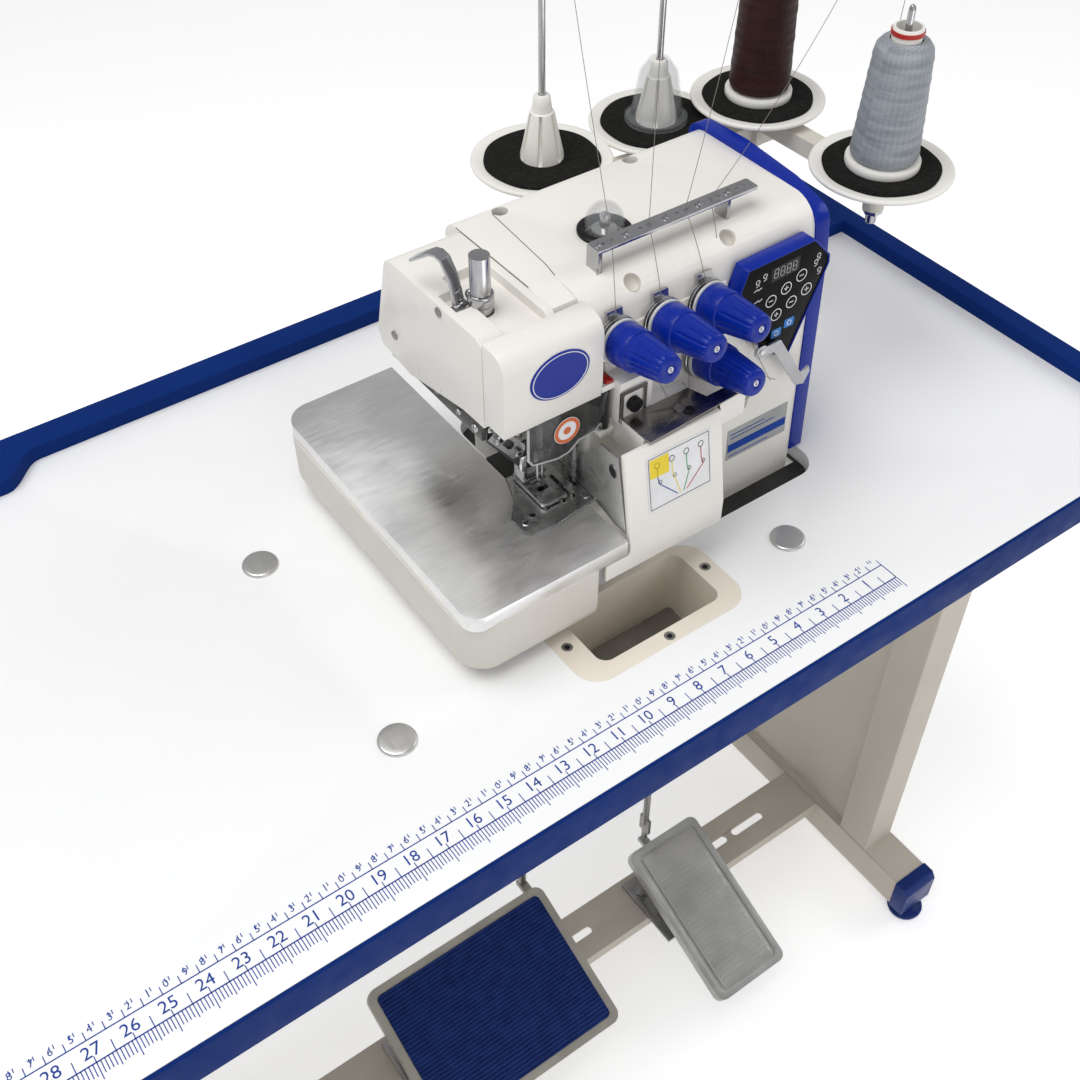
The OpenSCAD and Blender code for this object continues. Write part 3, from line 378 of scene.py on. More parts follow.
def disc_centre(i):
    """Centre of spool disc i, and the height of its top face, in metres."""
    x, y, drop = ((203, 148.5, 0), (342, 162, -14), (431, 123.5, 0), (434, -31.5, 0))[i]
    return x * MM, y * MM, TABLE + (200 + drop) * MM


def add_mesh(name, points, faces, material, body, slot, smooth=True):
    """A new piece with one material, riding body. slot is not used."""
    mesh = bpy.data.meshes.new(name)
    mesh.from_pydata([tuple(p) for p in points], [], faces)
    made = bmesh.new()
    made.from_mesh(mesh)
    bmesh.ops.recalc_face_normals(made, faces=made.faces)
    made.to_mesh(mesh)
    made.free()
    mesh.materials.append(mat(material))
    piece = bpy.data.objects.new(name, mesh)
    scene.collection.objects.link(piece)
    if smooth:
        mesh.shade_smooth()
        add_modifier(piece, "EDGE_SPLIT", split_angle=math.radians(38))
    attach(piece, body)
    return piece


def add_modifier(piece, kind, **settings):
    modifier = piece.modifiers.new(kind.lower(), kind)
    for key, value in settings.items():
        setattr(modifier, key, value)


def joined(parts):
    """(points, faces) of several (points, faces) in one list."""
    points, faces = [], []
    for more, their in parts:
        start = len(points)
        points += more
        faces += [[i + start for i in f] for f in their]
    return points, faces


def placed(part, matrix):
    return [matrix @ Vector(p) for p in part[0]], part[1]


def shift(x, y, z):
    return Matrix.Translation((x, y, z))


def spot(x, y, z, turn=0, axis="X"):
    """Frame at x, y and z above the table, in metres, turned by degrees about an axis."""
    return shift(x, y, TABLE + z) @ Matrix.Rotation(math.radians(turn), 4, axis)


def between(a, b):
    """Frame at a with local x towards b and local y as near up as it can be, and the distance."""
    a, b = Vector(a), Vector(b)
    x = (b - a).normalized()
    z = x.cross(Vector((0, 0, 1))).normalized()
    y = z.cross(x)
    return shift(*a) @ Matrix((x, y, z)).transposed().to_4x4(), (b - a).length


def mesh_of(made):
    """(points, faces) of a bmesh, which is then freed."""
    made.verts.index_update()
    result = [v.co.copy() for v in made.verts], [[v.index for v in f.verts] for f in made.faces]
    made.free()
    return result


def welded(points, faces):
    made = bmesh.new()
    made_points = [made.verts.new(p) for p in points]
    for f in faces:
        made.faces.new([made_points[i] for i in f])
    bmesh.ops.remove_doubles(made, verts=made.verts, dist=1e-7)
    bmesh.ops.dissolve_degenerate(made, edges=made.edges, dist=1e-7)
    return mesh_of(made)


def block(low, high, round_by):
    """(points, faces) of a box with chamfered edges."""
    made = bmesh.new()
    bmesh.ops.create_cube(made, size=1)
    low, high = Vector(low), Vector(high)
    for v in made.verts:
        v.co = Vector(low[k] + (v.co[k] + 0.5) * (high[k] - low[k]) for k in range(3))
    bmesh.ops.bevel(made, geom=made.edges[:], offset=round_by, segments=2, affect="EDGES", profile=0.5)
    return mesh_of(made)


def lofted(rows, closed=True, wrap=False):
    """(points, faces) of a skin over rows of points; wrap joins the last row to the first."""
    n, count = len(rows[0]), len(rows)
    points = [Vector(p) for row in rows for p in row]
    faces = []
    for r in range(count if wrap else count - 1):
        a, b = r * n, (r + 1) % count * n
        faces += [[a + i, a + (i + 1) % n, b + (i + 1) % n, b + i] for i in range(n if closed else n - 1)]
    return points, faces


def oval(rx, ry, steps):
    return [(rx * math.cos(2 * math.pi * i / steps), ry * math.sin(2 * math.pi * i / steps))
            for i in range(steps)]


def turned(profile, steps=CIRCLE, form=None):
    """(points, faces) of a profile of (radius, z) turned round Z, closed at radius 0.

    form(angle, radius, z), where given, is the radius and z at that angle.
    """
    rows = []
    for r, z in profile:
        angles = [2 * math.pi * i / steps for i in range(steps)]
        spots = [(a, *(form(a, r, z) if form else (r, z))) for a in angles]
        rows.append([(rr * math.cos(a), rr * math.sin(a), zz) for a, rr, zz in spots])
    skin = lofted(rows)
    return welded(*skin) if profile[0][0] < 1e-6 or profile[-1][0] < 1e-6 else skin


def swept(path, radius, steps):
    """(points, faces) of a round wire along path."""
    path = [Vector(p) for p in path]
    side = None
    rows = []
    for k, p in enumerate(path):
        along = (path[min(k + 1, len(path) - 1)] - path[max(k - 1, 0)]).normalized()
        if side is None:
            side = along.orthogonal().normalized()
        side = (side - along * side.dot(along)).normalized()
        other = along.cross(side)
        rows.append([p + radius * (x * side + y * other) for x, y in oval(1, 1, steps)])
    points, faces = lofted(rows)
    faces.append(list(range(steps))[::-1])
    faces.append([len(points) - steps + i for i in range(steps)])
    return points, faces


def helix(x, y, low, high, radius, turns):
    count = int(turns * 14)
    return [(x + radius * math.cos(2 * math.pi * turns * k / count),
             y + radius * math.sin(2 * math.pi * turns * k / count),
             low + (high - low) * k / count) for k in range(count + 1)]


def flat_sheet(outline, thick=PRINT):
    """(points, faces) of an outline of (x, y) from z 0 to thick."""
    n = len(outline)
    points, faces = lofted([[(x, y, z) for x, y in outline] for z in (0, thick)])
    return points, [list(range(n))[::-1], [n + i for i in range(n)]] + faces


def bar_on(a, b, width, thick=PRINT):
    """A printed line from a to b in the plane z = 0."""
    a, b = Vector(a), Vector(b)
    side = Vector((-(b - a).y, (b - a).x)).normalized() * width / 2
    return flat_sheet([a - side, b - side, b + side, a + side], thick)


def bars_along(path, width, thick=PRINT):
    """Printed lines from each point of path to the next."""
    return [bar_on(a, b, width, thick) for a, b in zip(path, path[1:])]


def ring_on(centre, radius, width, thick=PRINT, steps=28):
    profile = [(radius, 0), (radius, thick), (radius + width, thick), (radius + width, 0), (radius, 0)]
    return placed(turned(profile, steps), shift(centre[0], centre[1], 0))


def rim_ring(inner, outer, height, drop, steps=32):
    """A low ring with an outer chamfer, its seat at z 0."""
    return turned([(inner, 0), (inner, height), (outer, height), (outer + 0.0002, height - drop),
                   (outer + 0.0002, 0)], steps)


def round_box(x, y, r, steps):
    """Corner-rounded rectangle as (x, y) points."""
    corners = ((x[1] - r, y[1] - r, 0), (x[0] + r, y[1] - r, 90), (x[0] + r, y[0] + r, 180),
               (x[1] - r, y[0] + r, 270))
    return [p for cx, cy, start in corners for p in arc(cx, cy, r, start, steps)]


def arc(cx, cy, r, start, steps=8):
    """Points of the quarter circle from start degrees on."""
    angles = [math.radians(start + 90 * i / steps) for i in range(steps + 1)]
    return [(cx + r * math.cos(a), cy + r * math.sin(a)) for a in angles]


def frame_plate(outer, inner, thick):
    """(points, faces) of a flat frame between two outlines of the same length."""
    rows = [[(x, y, z) for x, y in ring]
            for ring, z in ((outer, 0), (inner, 0), (inner, thick), (outer, thick))]
    return lofted(rows, wrap=True)


def screw_head(radius, height, slot_turn):
    """A domed screw with its seat at z 0, and the dark bar of its slot as painted shade."""
    dome = turned([(radius, 0), (radius, height * 0.45), (radius * 0.85, height * 0.85),
                   (radius * 0.4, height), (0, height)], 28)
    half, slot = radius * 0.78, radius * 0.10
    groove = block((-half, -slot, height * 0.80), (half, slot, height * 1.04), radius * 0.03)
    return dome, placed(groove, Matrix.Rotation(slot_turn, 4, "Z"))


# ---------------- CAD nodes


def dress(node, material, edge):
    """Gives a CAD node its material, and edges rounded by edge millimetres."""
    piece = nodes[node]
    piece.data.materials.clear()
    piece.data.materials.append(mat(material))
    add_modifier(piece, "WELD", merge_threshold=1e-6)
    if edge:
        add_modifier(piece, "BEVEL", width=edge * MM, segments=3, limit_method="ANGLE",
                     angle_limit=math.radians(32), harden_normals=False)
    piece.data.shade_smooth()
    add_modifier(piece, "EDGE_SPLIT", split_angle=math.radians(40 if edge else 32))


# for each material, the CAD nodes that wear it and the rounding of their edges in millimetres
DRESS = {
    "laminate": {"table_top": 0.8},
    "rim": {"edge_rim": 2.0},
    "cap": {"cap_buttons": 0},
    "chute": {"waste_chute": 1.6},
    "stand": {"legs": 1.2, "cross_rail": 0.6},
    "deep_blue": {"foot_caps": 1.5, "levelling_feet": 0},
    "zinc": {"screws": 0.3, "hinge_brackets": 0.4, "pitman_rod": 0.8, "speed_lever": 0.6,
             "lift_link": 0.5, "lift_crank": 0.5},
    "hammered": {"treadle_frame": 1.4},
    "rubber": {"treadle_mat": 0.4},
    "dark": {"speed_unit": 2, "bed_casting": 0.5},
    "alloy": {"lift_pedal": 1.0},
    "cream": {"head_casting": 1.6, "face_cover": 3.0, "front_cover": 3.2, "looper_cover": 1.4},
    "blue": {"end_cover": 2.4, "panel_bezel": 1.4, "badge_plate": 0.4, "tension_knob_1": 0,
             "tension_knob_2": 0, "tension_knob_3": 0, "tension_knob_4": 0, "handwheel": 0.8},
    "glass_key": {"panel_glass": 0.3},
    "smoke": {"eye_guard": 0.5},
    "chrome": {"release_lever": 0.7, "pressure_screw": 0.8, "guide_bar": 0.5, "tension_discs": 0.3,
               "thread_lever": 0.3, "guide_mast": 0.4},
    "link": {"presser_arm": 1.0},
    "ground": {"presser_foot": 0.6, "needle_bar": 0.2, "feed_dogs": 0, "upper_looper": 0.3,
               "lower_looper": 0.3, "upper_knife": 0.3, "main_shaft": 0.4},
    "needle_sheet": {"needle_plate": 0.35},
    "plate": {"cloth_plate": 2.2},
    "guard_sheet": {"chip_guard": 0.3},
    "sheet": {"thread_plate": 0.3},
    "black": {"feed_button": 0.8},
    "frame": {"spool_frame": 1.2},
    "disc": {"spool_discs": 0},
    "clear": {"clear_cap": 0},
    "shell": {"cloth_shell": 2.0},
}


def dress_nodes():
    for material, worn_by in DRESS.items():
        for node, edge in worn_by.items():
            dress(node, material, edge)


# ---------------- table print

RULER_STEP = 0.00254
RULER_LINE = 0.00062


def text_shape(words, size, place):
    """(points, faces) of a number printed flat, centred on place."""
    curve = bpy.data.curves.new("number", "FONT")
    curve.body = words
    curve.size = size
    curve.align_x = "CENTER"
    curve.align_y = "CENTER"
    curve.resolution_u = 3
    holder = bpy.data.objects.new("number", curve)
    scene.collection.objects.link(holder)
    shape = holder.evaluated_get(bpy.context.evaluated_depsgraph_get()).to_mesh()
    points = [v.co + Vector(place) for v in shape.vertices]
    faces = [list(p.vertices) for p in shape.polygons]
    bpy.data.objects.remove(holder)
    bpy.data.curves.remove(curve)
    return points, faces


def print_ruler():
    """A plain measuring scale along the sewer's edge: one row of numbers on each of two lines."""
    left, right = -0.565, 0.256
    front, back = -0.2715, -0.2550
    lift = 0.00012
    parts = [bar_on((left, front), (right, front), 0.0009), bar_on((left, back), (right, back), 0.0008)]
    parts.append(bar_on((right, front), (right, back), 0.0008))
    steps = int((right - left) / RULER_STEP)

    def tick(x, start, length):
        parts.append(bar_on((x, start), (x, start + length), RULER_LINE))

    for k in range(steps + 1):
        x = right - k * RULER_STEP
        tick(x, front, -0.0125 if k % 10 == 0 else -0.0105 if k % 5 == 0 else -0.0090)
        if k % 5 == 0:
            tick(x, front, 0.0085 if k % 10 == 5 else 0.0045)
            tick(x, back, 0.0060)
        elif k % 5 in (2, 3):
            tick(x, back + 0.0065, 0.0030)
    for k in range(10, steps, 10):
        x = right - k * RULER_STEP
        parts.append(text_shape(str(k // 10), 0.0125, (x, (front + back) / 2, lift)))
        for number, aside in ((k // 5, 0.0045), (k // 5 + 1, -0.0075)):
            parts.append(text_shape(str(number % 10), 0.0075, (x + aside, back + 0.0058, lift)))
    points, faces = placed(joined(parts), shift(0, 0, TABLE))
    add_mesh("ruler_print", points, faces, "print_blue", "station", "navy_edge", smooth=False)


# ---------------- cloth plate shell


def cloth_shell():
    """Deep tray under the cloth plate: open towards the bed, with a broad round along its bottom."""
    low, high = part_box("cloth_shell")
    radius, wall, back_end = 0.020, 0.006, 0.022
    section = []
    for k in range(9):
        a = math.pi / 2 * k / 8
        section.append((low.z + radius * (1 - math.cos(a)), radius * (1 - math.sin(a))))
    section += [(high.z - 0.0015, 0.0), (high.z, 0.0012), (high.z, wall), (low.z + 0.020, wall),
                (low.z + 0.009, wall + 0.006), (low.z + 0.005, wall + 0.014)]
    rows = []
    for z, inset in section:
        round_by = max(0.024 - inset * 0.55, 0.006)
        x, back, front = low.x + inset, high.y - inset, low.y + inset
        path = [(back_end, back)]
        path += arc(x + round_by, back - round_by, round_by, 90)
        path += arc(x + round_by, front + round_by, round_by, 180)
        path += [(high.x - 0.003, front), (high.x, front + 0.003)]
        rows.append([(px, py, z) for px, py in path])
    points, faces = lofted(rows, closed=False, wrap=True)
    count, last = len(rows), len(rows[0])
    faces += [[r * last for r in range(count)][::-1], [r * last + last - 1 for r in range(count)]]
    # the floor keeps clear of the bed and the loopers
    in_x, in_back, in_front = low.x + 0.019, high.y - 0.019, low.y + 0.019
    outline = [(in_x, in_front), (back_end, in_front), (back_end, -0.140), (-0.008, -0.140),
               (-0.008, in_back), (in_x, in_back)]
    floor = placed(flat_sheet(outline, 0.005), shift(0, 0, low.z))
    bore, tube = 0.0042, 0.009
    pin = turned([(bore, 0.001), (tube, 0.001), (tube, 0.056), (bore, 0.056), (bore, 0.001)], 32)
    parts = [(points, faces), floor, placed(pin, shift(-0.050, 0.105, low.z))]
    piece = add_mesh("cloth_shell_skin", *joined(parts), "shell", "cloth_plate", "cream_plastic")
    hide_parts("cloth_shell")


# ---------------- oil sight, badge, panel, labels


def dome_arc(radius, rise, order):
    """Profile of a dome on the oil sight's skirt, for the tenths of a quarter circle in order."""
    return [(radius * math.cos(math.pi / 20 * k), 0.0085 + rise * math.sin(math.pi / 20 * k)) for k in order]


def oil_sight():
    low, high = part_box("oil_sight")
    centre = (low + high) / 2
    seat = shift(centre.x, centre.y, high.z - 0.0251)
    ring = turned([(0.0152, -0.003), (0.0152, 0.0030), (0.0165, 0.0036), (0.0195, 0.0034), (0.0210, 0.0022),
                   (0.0210, -0.003)])
    piece = add_mesh("oil_sight_ring", *placed(ring, seat), "black", "station", "clear_plastic")
    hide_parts("oil_sight")
    dome = turned([(0.0150, -0.002), (0.0150, 0.0085)] + dome_arc(0.0150, 0.0160, range(1, 11))
                  + dome_arc(0.0135, 0.0143, range(10, -1, -1)) + [(0.0135, -0.002)])
    add_mesh("oil_sight_dome", *placed(dome, seat), "clear", "station", "clear_plastic")
    spout = turned([(0, 0.016), (0.0032, 0.0150), (0.0040, 0.0125), (0.0040, 0.004), (0.0100, 0.0025),
                    (0.0120, -0.002), (0, -0.002)])
    add_mesh("oil_sight_spout", *placed(spout, seat), "ground", "station", "clear_plastic")


def badge():
    """A blank domed oval with a fine bright line inside its edge."""
    low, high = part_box("badge_plate")
    centre = (low + high) / 2
    half = (high - low) / 2
    place = front_plane(high.y) @ shift(centre.x, centre.z, 0)
    steps = 72

    def rings(profile):
        return lofted([[(x, y, z) for x, y in oval(half.x * k, half.z * k, steps)] for k, z in profile])

    points, faces = rings(((1.0, 0), (1.0, 0.0006), (0.985, 0.0009), (0.9, 0.00095), (0.6, 0.00105),
                           (0.3, 0.0011)))
    faces.append([len(points) - steps + i for i in range(steps)])
    field = add_mesh("badge_field", *placed((points, faces), place), "blue", "station", "blue_badge")
    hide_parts("badge_plate")
    line = rings(((0.935, 0.0008), (0.930, 0.0012), (0.905, 0.0012), (0.900, 0.0008)))
    add_mesh("badge_line", *placed(line, place), "print_white", "station", "blue_badge")


def front_plane(y):
    """Local x to the right, local y up and local z towards the sewer, at depth y."""
    return shift(0, y, 0) @ Matrix.Rotation(math.radians(90), 4, "X")


def panel_print():
    """Display window, round keys and plain marks of the control panel."""
    face = front_plane(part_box("panel_glass")[0].y)
    key_line, mark_line = 0.0007, 0.0005
    white, cyan, digits = [], [], []

    def at(x, z):
        return x * MM, TABLE + z * MM

    keys = [(232, 190), (247, 196), (262, 202), (240, 174), (255, 180), (270, 186)]
    white += [ring_on(at(*key), 0.0048, key_line) for key in keys]
    for k, key in enumerate(keys):
        x, z = at(*key)
        half = 0.0022
        white.append(bar_on((x - half, z), (x + half, z), key_line))
        if k % 2:
            white.append(bar_on((x, z - half), (x, z + half), key_line))
    for k in range(4):
        x, z = at(212 + 2 * k, 206 - 11 * (k % 2))
        white.append(bar_on((x, z), (x + 0.004, z + 0.0015), 0.0006))
    for mark in ((215, 214), (222, 217), (276, 209), (281, 200), (278, 214)):
        x, z = at(*mark)
        white.append(ring_on((x, z), 0.0016, mark_line, steps=16))
        white.append(bar_on((x - 0.0012, z - 0.0042), (x + 0.0022, z - 0.0030), mark_line))
    for icon in ((243, 155), (256, 160)):
        x, z = at(*icon)
        tile = flat_sheet(round_box((-0.0052, 0.0052), (-0.0042, 0.0042), 0.0015, 3))
        cyan.append(placed(tile, shift(x, z, 0)))
        white.append(placed(ring_on((0, 0), 0.0018, 0.0006, steps=16), shift(x, z, PRINT)))
    glass = 0.0003
    window = placed(flat_sheet(round_box((-0.0145, 0.0145), (-0.0065, 0.0065), 0.001, 3), glass),
                    shift(*at(243, 215), 0) @ Matrix.Rotation(math.radians(3), 4, "Z"))
    for k in range(4):
        x, z = at(233.5 + 6.3 * k, 215)
        digits += [bar_on((x - 0.0015, z + dz), (x + 0.0015, z + dz), 0.0006) for dz in (-0.004, 0, 0.004)]
        digits += [bar_on((x + dx, z - 0.0036), (x + dx, z + 0.0036), 0.0006) for dx in (-0.0019, 0.0019)]
    add_mesh("panel_marks", *placed(joined(white), face), "print_white", "station", "black_panel", False)
    add_mesh("panel_icons", *placed(joined(cyan), face), "print_cyan", "station", "black_panel", False)
    add_mesh("panel_window", *placed(window, face), "black", "station", "black_panel", False)
    add_mesh("panel_digits", *placed(joined(digits), face @ shift(0, 0, glass)), "label_grey", "station",
             "black_panel", False)


def name_plate():
    """A blank rating plate with a blue stripe, low on the head's leaning front."""
    front, lean, height = -109, 8, 206
    plane = spot(0, front * MM - 0.0001, 0, 90 - math.degrees(math.atan2(lean, height)))
    thick = 0.0004
    plate = flat_sheet([(0.2115, 0.030), (0.279, 0.030), (0.279, 0.062), (0.2115, 0.062)], thick)
    add_mesh("rating_plate", *placed(plate, plane), "label_grey", "station", "brushed_plate", False)
    raised = plane @ shift(0, 0, thick)
    stripe = flat_sheet([(0.2125, 0.0385), (0.278, 0.0385), (0.278, 0.0465), (0.2125, 0.0465)])
    add_mesh("rating_stripe", *placed(stripe, raised), "print_blue", "station", "navy_edge", False)
    left = 0.2145
    rows = ((0.0525, 0.050), (0.0565, 0.038), (0.0335, 0.044))
    lines = [bar_on((left, z), (left + width, z), 0.0008) for z, width in rows]
    add_mesh("rating_lines", *placed(joined(lines), raised), "print_blue", "station", "navy_edge", False)


def threading_chart():
    """A plain card on the looper cover: four coloured thread paths past round guides."""
    (foot_y, foot_z), (top_y, top_z) = (-171, 70), (-157, 150.5)
    lean = math.degrees(math.atan2(top_y - foot_y, top_z - foot_z))
    plane = spot(0, foot_y * MM - 0.0001, foot_z * MM, 90 - lean)
    thick = 0.0003
    x0, x1, z0, z1 = 0.076, 0.138, 0.022, 0.072
    card = flat_sheet(round_box((x0, x1), (z0, z1), 0.0015, 3), thick)
    add_mesh("chart_card", *placed(card, plane), "print_white", "looper_cover", "cream_paint", False)
    raised = plane @ shift(0, 0, thick)
    edge, columns = 0.002, [x0 + 0.010 + 0.014 * k for k in range(4)]
    marks = [bar_on((x0 + edge, z), (x1 - edge, z), 0.0004) for z in (z0 + edge, z1 - edge)]
    marks += [bar_on((x, z0 + edge), (x, z1 - edge), 0.0004) for x in (x0 + edge, x1 - edge)]
    for x in columns:
        marks.append(ring_on((x, z1 - 0.010), 0.0022, 0.0005, steps=20))
        marks.append(ring_on((x + 0.002, z0 + 0.024), 0.0014, 0.0004, steps=16))
    add_mesh("chart_marks", *placed(joined(marks), raised), "black", "looper_cover", "black_plastic", False)
    field = flat_sheet([(x0 + 0.003, z1 - 0.020), (x0 + 0.021, z1 - 0.020), (x0 + 0.021, z1 - 0.0035),
                        (x0 + 0.003, z1 - 0.0035)])
    add_mesh("chart_field", *placed(field, raised), "yellow", "looper_cover", "cream_paint", False)
    for k, (x, colour) in enumerate(zip(columns, ("print_blue", "yellow", "green", "red"))):
        path = [(x, z1 - 0.012), (x, z1 - 0.022), (x + 0.002, z0 + 0.022),
                (x0 + 0.028 + 0.003 * k, z0 + 0.006)]
        add_mesh("chart_path_%d" % (k + 1), *placed(joined(bars_along(path, 0.0007)), raised), colour,
                 "looper_cover", "navy_edge", False)


# ---------------- thread stand


def spool_parts():
    """Steel pins with their nuts, and the two slotted cream holders."""
    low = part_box("spool_pins")[0].z
    pins, holders = [], []
    for i in range(4):
        x, y, z = disc_centre(i)
        seat = shift(x, y, 0)
        holds_slots = i < 2
        top = z + (185 if holds_slots else 140) * MM
        pin = turned([(0, low), (0.0044, low), (0.005, low + 0.0006), (0.005, low + 0.0134),
                      (0.003, low + 0.014), (0.003, top - 0.004), (0.0024, top - 0.0012), (0.0014, top),
                      (0, top)], 32)
        nut = turned([(0.0032, z - 0.0465), (0.0085, z - 0.0465), (0.0090, z - 0.0460), (0.0090, z - 0.0422),
                      (0.0032, z - 0.0422)], 6)
        pins += [placed(pin, seat), placed(nut, seat)]
        if holds_slots:
            holders.append(placed(slotted_holder(), shift(x, y, z + 0.002)))
    piece = add_mesh("spool_pins_steel", *joined(pins), "chrome", "station", "chrome")
    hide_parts("spool_pins")
    add_mesh("spool_holders", *joined(holders), "disc", "station", "cream_plastic")


def slotted_holder():
    """Cone of ribs and slots under a short neck."""
    steps = 96

    def slots(a, r, h):
        in_slot = (round(a * steps / (2 * math.pi)) + 4) % 16 < 3 and 0.003 < h < 0.041
        return (r - 0.0035 if in_slot else r), h

    return turned([(0.0036, 0.0), (0.0190, 0.0), (0.0188, 0.004), (0.0150, 0.021), (0.0112, 0.040),
                   (0.0104, 0.0422), (0.0088, 0.0430), (0.0080, 0.0500), (0.0072, 0.0560),
                   (0.0058, 0.0575), (0.0034, 0.0575)], steps, slots)


def foam_pads():
    """Four rings of open foam, crowned a little outside the cones and rounded at their rims."""
    profile = ((0.0034, -0.0009), (0.0034, 0.0018), (0.020, 0.0019), (0.033, 0.0019), (0.038, 0.0023),
               (0.043, 0.0026), (0.047, 0.0024), (0.0498, 0.0017), (0.0511, 0.0006), (0.0513, -0.0003),
               (0.0508, -0.0009), (0.0034, -0.0009))
    for i in range(4):

        def worn(a, r, h):
            dent = 0.0003 * math.sin(5 * a + i) * math.sin(2 * a + 2 * i) if h > 0.002 else 0.0
            edge = 0.0004 * math.sin(7 * a + 2 * i) if r > 0.049 else 0.0
            return r + edge, h + dent

        ring = placed(turned(profile, 96, worn), shift(*disc_centre(i)))
        pad = add_mesh("foam_pad_%d" % (i + 1), *welded(*ring), "foam", "station", "black_foam")
        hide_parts("foam_pads")


def cone(name, i, r0, r1, height, winding, band):
    """A wound cone: white core and flange, the winding, and a coloured band at the top."""
    x, y, z = disc_centre(i)
    seat = shift(x, y, z + 0.002)
    core = turned([(0.0036, 0), (r0 + 0.0025, 0), (r0 + 0.0030, 0.0010), (r0 + 0.0030, 0.0055),
                   (r0 + 0.0020, 0.0068), (r0 - 0.004, 0.0072), (0.0125, height - 0.002),
                   (0.0130, height + 0.0075), (0.0122, height + 0.0090), (0.0104, height + 0.0090),
                   (0.0098, height - 0.012), (0.0036, height - 0.014)])
    add_mesh(name + "_core", *placed(core, seat), "disc", "station", "cream_plastic")
    layers = [(0.0120, 0.0074), (r0 - 0.0045, 0.0074), (r0 - 0.0012, 0.0092), (r0, 0.0130)]
    count = 26
    for k in range(1, count):
        t = k / count
        wobble = 0.00022 * math.sin(k * 2.3) + 0.00015 * math.sin(k * 5.1)
        layers.append((r0 + (r1 - r0) * t + wobble, 0.013 + (height - 0.025) * t))
    layers += [(r1 - 0.0010, height - 0.0075), (r1 - 0.0045, height - 0.0030), (0.0135, height - 0.0012)]
    piece = add_mesh(name + "_winding", *placed(turned(layers, 72), seat), winding, "station", "wound_thread")
    collar = turned([(0.0131, height + 0.0030), (0.0138, height + 0.0034), (0.0138, height + 0.0066),
                     (0.0131, height + 0.0070)])
    add_mesh(name + "_band", *placed(collar, seat), band, "station", "cream_plastic")
    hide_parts("thread_cones")


# ---------------- tension knobs and threads

# knob centres: x and y, and z above the table
KNOBS = ((0.088, -0.102, 0.211), (0.130, -0.102, 0.210), (0.172, -0.102, 0.209), (0.1665, -0.1095, 0.167))

# for each thread: where it crosses the guide bar, how far right of the knob it leaves, and the two
# points it runs down to, with z above the table
THREADS = (
    (0.110, 0.0180, (0.112, -0.120, 0.182), (0.118, -0.140, 0.1552)),
    (0.144, 0.0185, (0.142, -0.124, 0.180), (0.132, -0.141, 0.1552)),
    (0.178, 0.0185, (0.206, -0.124, 0.170), (0.232, -0.126, 0.120)),
    (0.202, 0.0190, (0.200, -0.128, 0.150), (0.238, -0.126, 0.118)),
)


def sagging(a, b, sag, steps=14):
    """Points from a to b, hanging by sag in the middle."""
    a, b = Vector(a), Vector(b)
    shares = [k / steps for k in range(steps + 1)]
    return [a.lerp(b, t) - Vector((0, 0, sag * 4 * t * (1 - t))) for t in shares]


def sewing_threads():
    """Four threads from the eyes on the mast, over the guide bar, to the tensions and on down."""
    guide_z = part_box("guide_mast")[1].z
    bar_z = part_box("guide_bar")[1].z + 0.0006
    strands = []
    for i, ((hole, aside, *lower), (kx, ky, kz)) in enumerate(zip(THREADS, KNOBS)):
        x, y, z = disc_centre(i)
        over = Vector((hole, -0.067, bar_z))
        strands.append(sagging((x, y, guide_z - 0.025), over, 0.012 + 0.004 * i))
        if i < 3:
            top = Vector((kx - 0.004, ky - 0.0060, TABLE + kz + 0.0186))
            strands.append(sagging(over, top, -0.002 - 0.001 * i, 8))
        else:
            strands.append(sagging(over, (kx + 0.0195, ky - 0.0050, TABLE + kz + 0.004), -0.014, 8))
        below = [(kx + aside, ky - 0.006, TABLE + kz)] + [(px, py, TABLE + pz) for px, py, pz in lower]
        strands.append([p for a, b in zip(below, below[1:]) for p in sagging(a, b, 0.0015, 5)])
    for start, x, y, z in ((0.0975, 0.0725, -0.1005, 0.190), (0.1020, 0.0745, -0.1010, 0.186)):
        strands.append(sagging((start, -0.0665, bar_z), (x, y, TABLE + z), 0.002, 8))
    # from the two cones: half a turn off the top, then up to the eye
    for i, height in ((2, 0.150), (3, 0.112)):
        x, y, z = disc_centre(i)
        turn = [0.3 * j for j in range(5)]
        strands.append([(x + 0.016 * math.cos(a), y + 0.016 * math.sin(a), z + height + 0.0035 + 0.002 * a)
                        for a in turn] + [(x, y, guide_z - 0.026)])
    wires = [swept(strand, 0.00028, 6) for strand in strands]
    add_mesh("sewing_threads", *joined(wires), "thread", "station", "wound_thread")


